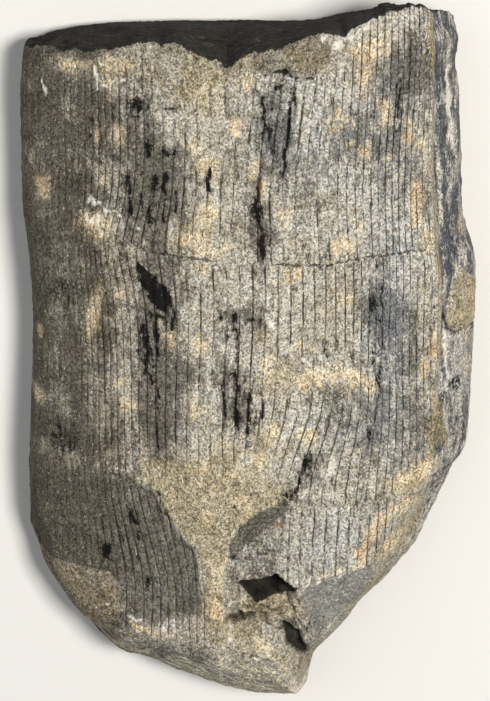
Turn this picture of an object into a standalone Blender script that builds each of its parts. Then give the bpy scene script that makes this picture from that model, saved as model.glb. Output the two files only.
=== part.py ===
"""A fossil horsetail plate: one flattened length of a fossil stem, filled with siltstone, in a single solid.

It lies on its back. The stem runs along Y with its upper end towards +Y, X runs across it, and +Z points up, out
of the ribbed face. Lengths are in millimetres until the mesh is written, when MM turns them into metres. The
origin is the middle of the underside, at the height of the surface that the stone rests on.
"""

import bmesh
import bpy
import numpy as np

MM = 0.001

# Driving dimensions
RIM_HEIGHT = 9.5
UNDER_RIM_HEIGHT = 3.6
UNDER_RIM_INSET = 2.5
UNDER_FACE_INSET = 4.5
UNDER_ROUNDING = 9.0
SIDE_BULGE = 0.8
TOP_EDGE_ROUNDING = 1.6
TIP_FALL = 3.5

# The ribs of the stem, which are narrower on its flanks
RIBS = 54
RIB_PITCH_MIDDLE = 2.45
RIB_PITCH_FLANK = 1.3
RIB_RELIEF_MIDDLE = 0.55
RIB_RELIEF_FLANK = 0.35

# How finely the solid is divided
COLUMNS_PER_RIB = 2
ROWS_UPPER_JOINT = 8
ROWS_MIDDLE_JOINT = 8
ROWS_LOWER_JOINT = 14
ROW_BESIDE_A_JOINT = 0.03
WALL_ROWS = 2

# The middle of the outline, in the coordinates of the lists below
MIDDLE_X = 0.35
MIDDLE_Y = -2.15

# Height of the ribbed face across the stem: x, z
SECTION = (
    (-45.6, 9.5), (-44.7, 13.4), (-42, 17), (-37, 20.3), (-28, 24), (-15, 27.3), (0, 29), (15, 29),
    (28, 27.4), (34, 25.9), (37.2, 24.3), (37.9, 23.1), (40.5, 19.3), (43, 15.3), (44.4, 12.3), (44.8, 9.5),
)

# The outline of the stone: y, x down the two sides, and x, y along the two ends
LEFT_SIDE = (
    (-38, -45.4), (-28, -45.4), (-8, -44.6), (5, -44.1), (13, -44.3), (22, -45), (31, -45.8), (50, -45.8),
    (59, -45.3), (63, -44.6),
)
RIGHT_SIDE = (
    (-34, 39), (-29, 41.2), (-25, 42.8), (-20.7, 45.4), (-8, 46), (5, 46.4), (15, 46.5), (20, 46),
    (24, 44.6), (28, 43.6), (45, 42.8), (54, 42.3), (59, 41.5), (63, 42), (68, 40.8),
)
TOP_END = (
    (-45, 61.8), (-42, 62.6), (-39, 63.1), (-36, 62.7), (-30, 62.8), (-25, 63.8), (-21, 64.8), (-14.2, 64.8),
    (-9.3, 62.3), (-6.3, 61.5), (-4.2, 60.2), (-0.8, 62.4), (2.2, 63.6), (6.5, 64.4), (10, 66), (15, 67.2),
    (18.6, 66.5), (20, 67.8), (24, 69.6), (28, 71.2), (31, 71.9), (33.6, 71.8), (36, 70.4), (39, 69.6), (41.5, 67.5),
)
TOP_END_UNDER = (
    (-45, 61.6), (-38, 64.2), (-30, 65.4), (-10, 66), (12, 66), (19, 67.4), (27, 68.4), (34, 66.5), (42, 63),
)
BOTTOM_END = (
    (-45.4, -38), (-44, -42.5), (-42.6, -47), (-40.2, -51.4), (-36.9, -56), (-33.3, -60.3), (-29.2, -64.8),
    (-24, -67.4), (-18.9, -69.3), (-6.8, -73.8), (2, -76.1), (10.4, -76.1), (11.8, -74.6), (12.8, -70.5),
    (14, -67), (15.9, -64.8), (19.4, -60.3), (23.2, -56), (28.2, -51.4), (31.7, -47), (34.8, -42.5), (39, -34),
)

# How wide the worn slope along the bottom end is: x, width
BOTTOM_SLOPE = ((-45, 3), (-36, 4), (-28, 7), (-18, 11), (0, 13), (10, 9), (14, 7), (22, 10), (32, 11), (39, 8))

# The joints of the stem, where its ribs end against the next set, and the edges that breaks have left: x, y
UPPER_JOINT = ((-46, 24), (-30, 24.5), (-20, 23.5), (-8, 22), (4, 21.3), (14, 21.2), (24, 22.6), (45, 24.5))
LOWER_JOINT = (
    (-46, -20), (-34, -22.8), (-26.5, -24.8), (-18, -28.5), (-8, -31), (3, -30), (9, -29.3), (20, -29.2),
    (30, -27), (45, -23.5),
)
LEFT_PANEL_EDGE = (
    (-46, -20), (-34, -22.8), (-26.8, -23.4), (-22, -25.2), (-18.6, -27), (-17.4, -30.3), (-14.9, -34.3),
    (-12.3, -37.3), (-10.4, -40.3), (-9.8, -45.7), (-8.9, -50.4), (-8.4, -58), (-7.8, -80),
)
RIGHT_PANEL_EDGE = ((-6, -60), (-4.6, -45), (-3.4, -40.3), (-0.2, -36.3), (3.6, -32.9), (8, -30.6), (14, -20))
LEDGE = (
    (-8, -46.8), (-1.8, -45.9), (1.4, -45.6), (4.2, -45.1), (5.8, -44.4), (7.1, -45.4), (8.4, -46.6), (9.7, -47.3),
    (12.2, -47), (13.2, -46), (17, -45.2), (20.8, -43.8), (24.3, -42.9), (30, -42),
)


def through(points):
    """A smooth line through a few points that never overshoots them, as a function."""
    x, y = np.array(points, float).T
    step = np.diff(x)
    slope = np.diff(y) / step
    tangent = np.concatenate([slope[:1], np.zeros(len(x) - 2), slope[-1:]])
    before, after = slope[:-1], slope[1:]
    same_way = before * after > 0
    tangent[1:-1][same_way] = 2 * before[same_way] * after[same_way] / (before + after)[same_way]

    def line(at):
        at = np.clip(at, x[0], x[-1])
        i = np.clip(np.searchsorted(x, at, side="right") - 1, 0, len(step) - 1)
        t = (at - x[i]) / step[i]
        return (
            y[i] * (1 + 2 * t) * (1 - t) ** 2
            + y[i + 1] * t * t * (3 - 2 * t)
            + step[i] * t * (1 - t) * (tangent[i] * (1 - t) - tangent[i + 1] * t)
        )

    line.span = (x[0], x[-1])
    return line


section, left_side, right_side = through(SECTION), through(LEFT_SIDE), through(RIGHT_SIDE)
top_end, top_end_under, bottom_end = through(TOP_END), through(TOP_END_UNDER), through(BOTTOM_END)
bottom_slope, ledge = through(BOTTOM_SLOPE), through(LEDGE)
upper_joint, lower_joint = through(UPPER_JOINT), through(LOWER_JOINT)
left_panel_edge, right_panel_edge = through(LEFT_PANEL_EDGE), through(RIGHT_PANEL_EDGE)


def ramp(start, end, value):
    """0 before start, 1 past end, and a soft S between them."""
    t = np.clip((value - start) / (end - start), 0, 1)
    return t * t * (3 - 2 * t)


def hump(x, y, centre, size, turn=0.0):
    """1 at the centre of an oval patch, and close to 0 beyond its half sizes. turn is in degrees."""
    c, s = np.cos(np.radians(turn)), np.sin(np.radians(turn))
    u = (x - centre[0]) * c + (y - centre[1]) * s
    v = (y - centre[1]) * c - (x - centre[0]) * s
    return np.exp(-1.5 * ((u / size[0]) ** 2 + (v / size[1]) ** 2))


def above(line, x, y, spacing=0.5):
    """Distance from a line that runs across the stem, positive on its upper side."""
    start, end = line.span
    across = np.linspace(start, end, int((end - start) / spacing) + 1)
    along = line(across)
    apart = np.min(np.hypot(np.ravel(x)[:, None] - across, np.ravel(y)[:, None] - along), axis=1)
    return np.reshape(apart, np.shape(x)) * np.sign(y - line(x))


def rib_layout():
    """Where each rib lies across the stem, as a function of its number, before it leans."""
    x = np.linspace(SECTION[0][0], SECTION[-1][0], 2000)
    pitch = RIB_PITCH_MIDDLE - (RIB_PITCH_MIDDLE - RIB_PITCH_FLANK) * ramp(6, 30, np.abs(x))
    count = np.concatenate([[0], np.cumsum(np.diff(x) * 2 / (pitch[1:] + pitch[:-1]))])
    count *= RIBS / count[-1]
    return lambda rib: np.interp(rib, count, x)


rib_place = rib_layout()


def lean(x, y):
    """How far a rib has wandered sideways from a straight line."""
    wavy = 0.35 * np.sin(y / 15 + x / 11) + 0.2 * np.sin(y / 6.3 - x / 19)
    at_top = 0.0035 * np.maximum(y - 30, 0) ** 2 * np.exp(-(((x - 4) / 12) ** 2))
    at_upper_joint = -2.0 * hump(x, y, (-22, 24), (11, 10))
    to_lower_left = 4.5 * ramp(-25, -52, y) * np.exp(-(((x + 22) / 11) ** 2))
    to_lower_right = -4.6 * ramp(-6, -48, y) * np.exp(-(((x - 15) / 11) ** 2))
    return wavy + at_top + at_upper_joint + to_lower_left + to_lower_right


def across_at(flat_x, y, inset):
    """x of a point whose place on a straight stem is flat_x: it leans with the ribs and keeps to the sides."""
    left, right = SECTION[0][0], SECTION[-1][0]
    to_left = (left_side(y) + inset - left) * (1 - ramp(left, left + 18, flat_x))
    to_right = (right_side(y) - inset - right) * ramp(right - 17, right, flat_x)
    inner = ramp(left, left + 8, flat_x) * (1 - ramp(right - 8, right, flat_x))
    return flat_x + to_left + to_right + inner * lean(flat_x, y)


def plan(flat_x, fall, top, inset=0.0, top_inset=0.0):
    """x and y on one face, where fall runs from 0 at the top end by way of the joints to 3 at the bottom end."""
    y = 60 - 40 * fall
    for _ in range(24):
        x = across_at(flat_x, y, inset)
        stops = (top(x) - top_inset, upper_joint(x), lower_joint(x), bottom_end(x) + inset)
        joint = np.minimum(fall.astype(int), 2)
        start, end = np.choose(joint, stops[:3]), np.choose(joint, stops[1:])
        y = (y + start + (end - start) * (fall - joint)) / 2
    return across_at(flat_x, y, inset), y


def lumps(x, y):
    """Low swells of a broken stone surface, from -1 to 1."""
    return (
        np.sin(x / 4.1 + 1.3 * np.sin(y / 7.7)) * np.sin(y / 5.3 + 1.1 * np.sin(x / 6.1 + 2))
        + 0.5 * np.sin(x / 1.9 + y / 3.1 + 1) * np.sin(y / 2.3 - x / 4.7)
    ) / 1.5


def rib_free(x, y):
    """1 where the ribbed skin is gone and plain stone shows, 0 where the ribs are whole."""
    below_left = ramp(0, 1.5, above(left_panel_edge, x, y)) * ramp(-20, -27, y)
    wedge = below_left * (1 - ramp(-1, 1, -above(right_panel_edge, x, y))) * (1 - ramp(8, 13, x + 0.4 * (y + 20)))
    tip = ramp(0, 2, -above(ledge, x, y)) * ramp(-10, -7, x)
    left_scar = hump(x, y, (-33, -51), (8, 6), -45)
    top_scar = hump(x, y, (-9, 58), (9, 8)) + hump(x, y, (9, 62.5), (8, 4))
    right_scar = ramp(-3, 3, x - 30 - 0.8 * (y + 44)) * ramp(-30, -34, y)
    return np.clip(wedge + tip + 1.6 * left_scar + 1.4 * top_scar + right_scar, 0, 1)


def ribs(rib, x, y):
    """Relief of the ribs. They change places at each joint, where a groove meets the middle of the next rib."""
    joint = (y < upper_joint(x)).astype(int) + (y < lower_joint(x)).astype(int)
    crest = -np.cos(2 * np.pi * (rib + 0.5 * (joint % 2)))
    relief = RIB_RELIEF_MIDDLE - (RIB_RELIEF_MIDDLE - RIB_RELIEF_FLANK) * ramp(6, 30, np.abs(rib_place(rib)))
    near_joint = np.minimum(np.abs(y - upper_joint(x)), np.abs(y - lower_joint(x)))
    return relief / 2 * crest * ramp(0, 1.2, near_joint) * (1 - rib_free(x, y))


def breaks(x, y):
    """How far the breaks near the tip and the flakes near the top stand out of the ribbed face."""
    under_ledge = -above(ledge, x, y)
    left_panel = -1.1 * ramp(0, 1.2, -above(left_panel_edge, x, y)) * ramp(-46, -20, x) * (1 - ramp(-48, -57, y))
    wedge = 0.5 * rib_free(x, y) * lumps(x, y)
    right_panel = -1.0 * ramp(0, 1.5, -above(right_panel_edge, x, y)) * ramp(-6, -3, x) * (1 - ramp(10, 20, x))
    gape = 4.6 * np.clip(1 - ((x - 4.2) / 6.8) ** 2, 0.02, 1)
    hollow = -5.5 * ramp(0, 0.8, under_ledge) * (1 - ramp(0.45, 1, under_ledge / gape)) * ramp(0.1, 1.2, gape)
    broken = -1.8 * ramp(0, 1.5, under_ledge) * ramp(-5, 1, x) * (1 - ramp(13, 15, x)) * (1 + 0.6 * lumps(x, y))
    pit = -4.0 * ramp(0.15, 0.75, hump(x, y, (9.4, -60.3), (6, 3.6), -62))
    scar = -0.7 * ramp(0.3, 0.5, hump(x, y, (-33, -51), (8, 6), -45))
    flake = 0.9 * ramp(0, 0.5, y - 59.3 - 0.6 * np.sin(x / 1.7)) * ramp(1, 4, x) * (1 - ramp(12, 16, x))
    top_scar = -1.3 * hump(x, y, (-7, 60), (9, 7))
    return left_panel + wedge + right_panel + hollow + broken + pit + scar + flake + top_scar


def side_block(x, y):
    """The block of sandstone that stuck to the right flank, with the hollow above it."""
    block = 1.6 * ramp(0.25, 0.8, hump(x, y, (43, 12.5), (5, 10)))
    return block - 0.8 * hump(x, y, (40.5, 22), (3, 9))


def chip(height, x, y):
    """The flat face where a chip came off beside the tip, as a plane that cuts the height where it is lower."""
    face = 24.3 - 0.155 * (x - 12.5) + 0.356 * (y + 48)
    past_left_side = x - 11 + 0.26 * (y + 48)
    struck = ramp(-0.6, 0.6, past_left_side) * ramp(0, 0.5, -above(ledge, x, y)) * (1 - ramp(24, 25.5, x))
    return height + struck * np.minimum(face - height, 0)


def ribbed_face(rib, x, y):
    """Height of the ribbed face."""
    flat_x = rib_place(rib)
    whole = section(flat_x) - TIP_FALL * ramp(-20, -75, y) + 0.25 * lumps(x / 1.6, y / 1.6)
    whole += breaks(x, y) + side_block(x, y)
    swell = 0.35 * np.exp(-(((y - upper_joint(x)) / 5) ** 2)) + 0.3 * np.exp(-(((y - lower_joint(x)) / 5) ** 2))
    seam = 0.45 * np.exp(-(((y - upper_joint(x)) / 1.1) ** 2)) + 0.4 * np.exp(-(((y - lower_joint(x)) / 1.1) ** 2))
    on_flat = ramp(0, 6, whole - RIM_HEIGHT)
    whole += on_flat * (swell - seam + ribs(rib, x, y))
    inward = np.clip(above(bottom_end, x, y) / bottom_slope(x), 0, 1)
    whole = chip(RIM_HEIGHT + np.maximum(whole - RIM_HEIGHT, 0) * (1 - (1 - inward) ** 1.5) ** (1 / 1.5), x, y)
    edge = np.clip(-above(top_end, x, y) / TOP_EDGE_ROUNDING, 0, 1)
    return whole - 0.9 * (1 - edge) ** 2 * on_flat


def underside(x, y):
    """Height of the underside: flat on the ground, and lifted towards its rim, with shallow hollows."""
    inset = UNDER_RIM_INSET
    inward = np.minimum.reduce([
        x - left_side(y) - inset, right_side(y) - inset - x, -above(top_end_under, x, y),
        above(bottom_end, x, y - inset),
    ])
    lift = UNDER_RIM_HEIGHT * (1 - ramp(0, UNDER_ROUNDING, np.maximum(inward, 0)))
    hollows = 1.2 * np.maximum(lumps(x / 2.2 + 3, y / 2.2) - 0.25, 0) * ramp(2, 8, inward)
    return lift + hollows


def grid_faces(start, columns, rows):
    """Four-sided faces of a grid of vertices numbered row by row from start."""
    wide = columns + 1
    return [
        (start + j * wide + i, start + (j + 1) * wide + i, start + (j + 1) * wide + i + 1, start + j * wide + i + 1)
        for j in range(rows)
        for i in range(columns)
    ]


def grid_rim(start, columns, rows):
    """Vertex numbers round such a grid, from its first corner along the top end and then down the right side."""
    wide = columns + 1
    top = [start + i for i in range(columns)]
    right = [start + j * wide + columns for j in range(rows)]
    bottom = [start + rows * wide + i for i in range(columns, 0, -1)]
    left = [start + j * wide for j in range(rows, 0, -1)]
    return top + right + bottom + left


def falls(rows_per_joint):
    """Where the rows of a face lie, with one close beside each joint of the stem on either side."""
    upper, middle, lower = rows_per_joint
    beside = ROW_BESIDE_A_JOINT
    return np.concatenate([
        np.linspace(0, 1 - beside, upper), [1.0], np.linspace(1 + beside, 2 - beside, middle - 1), [2.0],
        np.linspace(2 + beside, 3, lower),
    ])


def face_grid(columns, rows_per_joint, top, inset=0.0, top_inset=0.0):
    """Rib number, x and y of a face's vertices, row by row from the top end."""
    rib, fall = np.meshgrid(np.linspace(0, RIBS, columns + 1), falls(rows_per_joint))
    rib, fall = rib.ravel(), fall.ravel()
    x, y = plan(rib_place(rib), fall, top, inset, top_inset)
    return rib, x, y


def wall_loops(front_rim, under_rim, rows):
    """The rings of vertices between the rim of the ribbed face and the rim below it."""
    ahead = np.roll(front_rim, -1, axis=0) - np.roll(front_rim, 1, axis=0)
    outward = np.stack([ahead[:, 1], -ahead[:, 0]], axis=1) * -1
    outward /= np.linalg.norm(outward, axis=1)[:, None]
    on_end = ramp(RIM_HEIGHT, RIM_HEIGHT + 4, front_rim[:, 2])[:, None]
    loops = []
    for row in range(1, rows + 1):
        down = row / rows
        loop = front_rim * (1 - down) + under_rim * down
        loop[:, :2] += outward * SIDE_BULGE * 4 * down * (1 - down) * (1 - on_end)
        loops.append(loop)
    return loops


def stone_mesh():
    """All vertices and faces of the stone, in millimetres."""
    rows_per_joint = (ROWS_UPPER_JOINT, ROWS_MIDDLE_JOINT, ROWS_LOWER_JOINT)
    columns, rows = RIBS * COLUMNS_PER_RIB, sum(rows_per_joint)
    rib, x, y = face_grid(columns, rows_per_joint, top_end)
    points = [np.stack([x, y, ribbed_face(rib, x, y)], axis=1)]
    faces = grid_faces(0, columns, rows)
    ring = np.array(grid_rim(0, columns, rows))

    _, x, y = face_grid(columns, rows_per_joint, top_end_under, UNDER_RIM_INSET)
    under_rim = np.stack([x, y, np.full(len(x), UNDER_RIM_HEIGHT)], axis=1)[ring]
    for loop in wall_loops(points[0][ring], under_rim, WALL_ROWS):
        count = sum(map(len, points))
        below = np.arange(count, count + len(ring))
        for i in range(len(ring)):
            j = (i + 1) % len(ring)
            faces.append((ring[i], ring[j], below[j], below[i]))
        points.append(loop)
        ring = below

    under_columns, under_rows = columns // 2, rows // 2
    half_rows = tuple(rows // 2 for rows in rows_per_joint)
    count = sum(map(len, points))
    top_inset = UNDER_FACE_INSET - UNDER_RIM_INSET
    _, x, y = face_grid(under_columns, half_rows, top_end_under, UNDER_FACE_INSET, top_inset)
    points.append(np.stack([x, y, underside(x, y)], axis=1))
    faces += [face[::-1] for face in grid_faces(count, under_columns, under_rows)]
    inner = grid_rim(count, under_columns, under_rows)
    for i in range(len(inner)):
        j = (i + 1) % len(inner)
        first, middle, last = ring[2 * i], ring[2 * i + 1], ring[(2 * i + 2) % len(ring)]
        faces += [(first, middle, inner[i]), (middle, inner[j], inner[i]), (middle, last, inner[j])]
    return np.concatenate(points), faces


def siltstone():
    """Dull grey siltstone, as one plain finish."""
    material = bpy.data.materials.new("siltstone")
    material.use_nodes = True
    shader = material.node_tree.nodes["Principled BSDF"]
    shader.inputs["Base Color"].default_value = (0.26, 0.24, 0.2, 1)
    shader.inputs["Roughness"].default_value = 0.85
    shader.inputs["Metallic"].default_value = 0.0
    return material


def build():
    """Makes the stone as one object."""
    for old in list(bpy.data.objects):
        bpy.data.objects.remove(old)
    points, faces = stone_mesh()
    points = (points - (MIDDLE_X, MIDDLE_Y, 0)) * MM
    mesh = bpy.data.meshes.new("horsetail_plate")
    mesh.from_pydata(points.tolist(), [], [tuple(int(i) for i in face) for face in faces])
    stone = bmesh.new()
    stone.from_mesh(mesh)
    bmesh.ops.recalc_face_normals(stone, faces=stone.faces)
    bmesh.ops.triangulate(stone, faces=stone.faces)
    stone.to_mesh(mesh)
    stone.free()
    mesh.shade_smooth()
    mesh.set_sharp_from_angle(angle=np.radians(40))
    mesh.materials.append(siltstone())
    bpy.context.scene.collection.objects.link(bpy.data.objects.new("horsetail_plate", mesh))


build()
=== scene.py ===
# %% [markdown]
# # A fossil horsetail plate
#
# Horsetails grew as tall as trees in the coal forests. When such a stem fell, silt filled its hollow middle
# and set into stone, and what is left is a cast of the inside: long ribs, with narrow grooves between them
# that still hold some of the wood as a black film of coal. This plate is one flattened length of a stem,
# about 15 cm long.
#
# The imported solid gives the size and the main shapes. Here the same stone is made again with far more detail,
# from the same outline and section, and takes the solid's place.

from functools import partial
from math import cos, pi, radians, sin

import bpy
import numpy as np
from mathutils import Matrix, Vector


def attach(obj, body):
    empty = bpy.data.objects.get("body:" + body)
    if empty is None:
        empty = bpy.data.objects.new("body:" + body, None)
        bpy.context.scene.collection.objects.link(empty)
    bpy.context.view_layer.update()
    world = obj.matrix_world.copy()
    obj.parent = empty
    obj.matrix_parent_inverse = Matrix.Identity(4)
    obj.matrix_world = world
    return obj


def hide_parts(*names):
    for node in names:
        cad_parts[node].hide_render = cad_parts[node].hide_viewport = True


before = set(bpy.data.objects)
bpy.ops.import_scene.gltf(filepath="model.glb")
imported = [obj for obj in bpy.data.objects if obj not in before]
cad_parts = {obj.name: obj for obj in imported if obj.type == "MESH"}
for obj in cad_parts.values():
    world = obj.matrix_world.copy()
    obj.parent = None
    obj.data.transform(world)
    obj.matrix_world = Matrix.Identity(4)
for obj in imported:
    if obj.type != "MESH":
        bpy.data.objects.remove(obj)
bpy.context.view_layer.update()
MM = 0.001

# %% [markdown]
# ## Measures
#
# All sizes here are millimetres. The lists follow the real outline: x runs across the stem, y along it
# towards the upper end, and z out of the ribbed face. A few points are enough, because a smooth line is drawn
# through them that never swings past a point. A polynomial or a spline would swing.


# %% A smooth line through a few points
def through(points):
    """A smooth line through a few points that never overshoots them, as a function."""
    x, y = np.array(points, float).T
    step = np.diff(x)
    slope = np.diff(y) / step
    tangent = np.concatenate([slope[:1], np.zeros(len(x) - 2), slope[-1:]])
    before, after = slope[:-1], slope[1:]
    same_way = before * after > 0
    tangent[1:-1][same_way] = 2 * before[same_way] * after[same_way] / (before + after)[same_way]

    def line(at):
        at = np.clip(at, x[0], x[-1])
        i = np.clip(np.searchsorted(x, at, side="right") - 1, 0, len(step) - 1)
        t = (at - x[i]) / step[i]
        return (
            y[i] * (1 + 2 * t) * (1 - t) ** 2
            + y[i + 1] * t * t * (3 - 2 * t)
            + step[i] * t * (1 - t) * (tangent[i] * (1 - t) - tangent[i + 1] * t)
        )

    line.span = (x[0], x[-1])
    return line


# %% The outline, the section and the joints
section = through((
    (-45.6, 9.5), (-44.7, 13.4), (-42, 17), (-37, 20.3), (-28, 24), (-15, 27.3), (0, 29), (15, 29),
    (28, 27.4), (34, 25.9), (37.2, 24.3), (37.9, 23.1), (40.5, 19.3), (43, 15.3), (44.4, 12.3), (44.8, 9.5),
))
left_side = through((
    (-38, -45.4), (-28, -45.4), (-8, -44.6), (5, -44.1), (13, -44.3), (22, -45), (31, -45.8), (50, -45.8),
    (59, -45.3), (63, -44.6),
))
right_side = through((
    (-34, 39), (-29, 41.2), (-25, 42.8), (-20.7, 45.4), (-8, 46), (5, 46.4), (15, 46.5), (20, 46), (24, 44.6),
    (28, 43.6), (45, 42.8), (54, 42.3), (59, 41.5), (63, 42), (68, 40.8),
))
top_end = through((
    (-45, 61.8), (-42, 62.6), (-39, 63.1), (-36, 62.7), (-30, 62.8), (-25, 63.8), (-21, 64.8), (-14.2, 64.8),
    (-9.3, 62.3), (-6.3, 61.5), (-4.2, 60.2), (-0.8, 62.4), (2.2, 63.6), (6.5, 64.4), (10, 66), (15, 67.2),
    (18.6, 66.5), (20, 67.8), (24, 69.6), (28, 71.2), (31, 71.9), (33.6, 71.8), (36, 70.4), (39, 69.6),
    (41.5, 67.5),
))
top_end_under = through((
    (-45, 61.6), (-38, 64.2), (-30, 65.4), (-10, 66), (12, 66), (19, 67.4), (27, 68.4), (34, 66.5), (42, 63),
))
bottom_end = through((
    (-45.4, -38), (-44, -42.5), (-42.6, -47), (-40.2, -51.4), (-36.9, -56), (-33.3, -60.3), (-29.2, -64.8),
    (-24, -67.4), (-18.9, -69.3), (-6.8, -73.8), (2, -76.1), (10.4, -76.1), (11.8, -74.6), (12.8, -70.5),
    (14, -67), (15.9, -64.8), (19.4, -60.3), (23.2, -56), (28.2, -51.4), (31.7, -47), (34.8, -42.5),
    (39, -34),
))
bottom_slope = through((
    (-45, 3), (-36, 4), (-28, 7), (-18, 11), (0, 13), (10, 9), (14, 7), (22, 10), (32, 11), (39, 8),
))
upper_joint = through((
    (-46, 24), (-30, 24.5), (-20, 23.5), (-8, 22), (4, 21.3), (14, 21.2), (24, 22.6), (45, 24.5),
))
lower_joint = through((
    (-46, -20), (-34, -22.8), (-26.5, -24.8), (-18, -28.5), (-8, -31), (3, -30), (9, -29.3), (20, -29.2),
    (30, -27), (45, -23.5),
))
MIDDLE = (0.35, -2.15)
RIM_HEIGHT = 9.5
UNDER_RIM_HEIGHT = 3.6
RIBS = 54
print("stem:", RIBS, "ribs, width", round(float(right_side(5) - left_side(5)), 1), "mm")

# %% [markdown]
# ## Small tools for shaping
#
# Almost every break in the stone is a flat spot, an edge or a hollow, so a few helpers do most of the work: a
# soft step, an oval hump, a bell, and the distance from a line or from the border of a patch.


# %% Steps, humps and distances
def ramp(start, end, value):
    """0 before start, 1 past end, and a soft S between them."""
    t = np.clip((value - start) / (end - start), 0, 1)
    return t * t * (3 - 2 * t)


def oval(x, y, centre, size, turn=0.0):
    """Distance from the centre of an oval patch, where its border is at 1. turn is in degrees."""
    c, s = cos(radians(turn)), sin(radians(turn))
    u = (x - centre[0]) * c + (y - centre[1]) * s
    v = (y - centre[1]) * c - (x - centre[0]) * s
    return np.hypot(u / size[0], v / size[1])


def hump(x, y, centre, size, turn=0.0):
    """1 at the centre of an oval patch, and close to 0 beyond its half sizes."""
    return np.exp(-1.5 * oval(x, y, centre, size, turn) ** 2)


def humps(x, y, places, wider=1.0):
    """The humps of a list of places: x, y, two half sizes, an amount and, where it is turned, its turn."""
    return [
        amount * hump(x, y, (at_x, at_y), (long * wider, high * wider), *turn)
        for at_x, at_y, long, high, amount, *turn in places
    ]


def bell(distance, width):
    """1 at no distance, and close to 0 beyond twice the width."""
    return np.exp(-((distance / width) ** 2))


def from_path(x, y, corners):
    """Distance from a path of straight pieces."""
    nearest = np.full(np.shape(x), 1e9)
    for (ax, ay), (bx, by) in zip(corners[:-1], corners[1:]):
        run, rise = bx - ax, by - ay
        along = np.clip(((x - ax) * run + (y - ay) * rise) / (run**2 + rise**2), 0, 1)
        nearest = np.minimum(nearest, np.hypot(x - ax - along * run, y - ay - along * rise))
    return nearest


def within(x, y, corners):
    """Distance from the border of a patch with straight sides, positive inside it."""
    inside = np.zeros(np.shape(x), bool)
    for (ax, ay), (bx, by) in zip(corners, corners[1:] + corners[:1]):
        crosses = (ay > y) != (by > y)
        inside ^= crosses & (x < ax + (y - ay) * (bx - ax) / (by - ay if by != ay else 1))
    return np.where(inside, 1, -1) * from_path(x, y, corners + corners[:1])


def above(line, x, y, spacing=0.5):
    """Distance from a line that runs across the stem, positive on its upper side."""
    start, end = line.span
    across = np.linspace(start, end, int((end - start) / spacing) + 1)
    return from_path(x, y, list(zip(across, line(across)))) * np.sign(y - line(x))


def waves(x, y, size, seed):
    """Irregular swells of about one size, from -1 to 1."""
    rng = np.random.default_rng(seed)
    total = np.zeros(np.shape(x))
    for _ in range(7):
        turn, phase, stretch = rng.uniform(0, 2 * pi), rng.uniform(0, 2 * pi), rng.uniform(0.7, 1.5)
        total += np.sin((x * cos(turn) + y * sin(turn)) * 2 * pi / (size * stretch) + phase)
    return total / 4


def crumble(x, y, size, seed):
    """Swells of one size with finer ones on them, as on broken stone."""
    return sum(waves(x, y, size / 1.9**i, seed + i) / 1.6**i for i in range(4)) / 1.8


print("a soft step from 0 to 10, at 3:", round(float(ramp(0, 10, 3)), 3))

# %% [markdown]
# ## Where the ribs run
#
# Seen from the front, the ribs stand closer together on the flanks, because the stem curves away there. The
# width of each rib is set by its place across the stem, and adding the widths up gives a number for every
# place: 0 on the left edge and 54 on the right. Everything that follows the ribs can then use that number.
# Each rib also wanders a little, and near a side it follows the side.


# %% Rib numbers and how the ribs lean
RIB_WIDTH = 2.45
RIB_NARROWING = 1.15


def rib_layout():
    """Where each rib lies across the stem, as a function of its number, before it leans."""
    x = np.linspace(*section.span, 2000)
    pitch = RIB_WIDTH - RIB_NARROWING * ramp(6, 30, np.abs(x))
    count = np.concatenate([[0], np.cumsum(np.diff(x) * 2 / (pitch[1:] + pitch[:-1]))])
    count *= RIBS / count[-1]
    return lambda rib: np.interp(rib, count, x)


rib_place = rib_layout()


def lean(x, y):
    """How far a rib has wandered sideways from a straight line."""
    wavy = 0.35 * np.sin(y / 15 + x / 11) + 0.2 * np.sin(y / 6.3 - x / 19)
    at_top = 0.0035 * np.maximum(y - 30, 0) ** 2 * bell(x - 4, 12)
    at_upper_joint = -2.0 * hump(x, y, (-22, 24), (11, 10))
    to_lower_left = 4.5 * ramp(-25, -52, y) * bell(x + 22, 11)
    to_lower_right = -5.2 * ramp(-5, -27, y) * bell(x - 14, 11)
    return wavy + at_top + at_upper_joint + to_lower_left + to_lower_right


def across_at(flat_x, y, inset):
    """x of a point that lies at flat_x on a straight stem: it leans with the ribs and keeps to the sides."""
    left, right = section.span
    to_left = (left_side(y) + inset - left) * (1 - ramp(left, left + 18, flat_x))
    to_right = (right_side(y) - inset - right) * ramp(right - 17, right, flat_x)
    inner = ramp(left, left + 8, flat_x) * (1 - ramp(right - 8, right, flat_x))
    return flat_x + to_left + to_right + inner * lean(flat_x, y)


def plan(flat_x, fall, top, inset=0.0, top_inset=0.0):
    """x and y on one face, where fall runs from 0 at the top end past both joints to 3 at the bottom end."""
    y = 60 - 40 * fall
    for _ in range(24):
        x = across_at(flat_x, y, inset)
        stops = (top(x) - top_inset, upper_joint(x), lower_joint(x), bottom_end(x) + inset)
        joint = np.minimum(fall.astype(int), 2)
        start, end = np.choose(joint, stops[:3]), np.choose(joint, stops[1:])
        y = (y + start + (end - start) * (fall - joint)) / 2
    return across_at(flat_x, y, inset), y


print("ribs 26 to 28 at x =", np.round(rib_place(np.array([26, 27, 28])), 2), "mm")

# %% [markdown]
# ## The ribbed face
#
# The face starts as the plain section, falling a little towards the tip. Then come the breaks that age and
# the hammer left, each one as its own few lines with its own depth. The ribs themselves are left out here:
# they come later, from Geometry Nodes, because they are the one thing that repeats.

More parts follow.
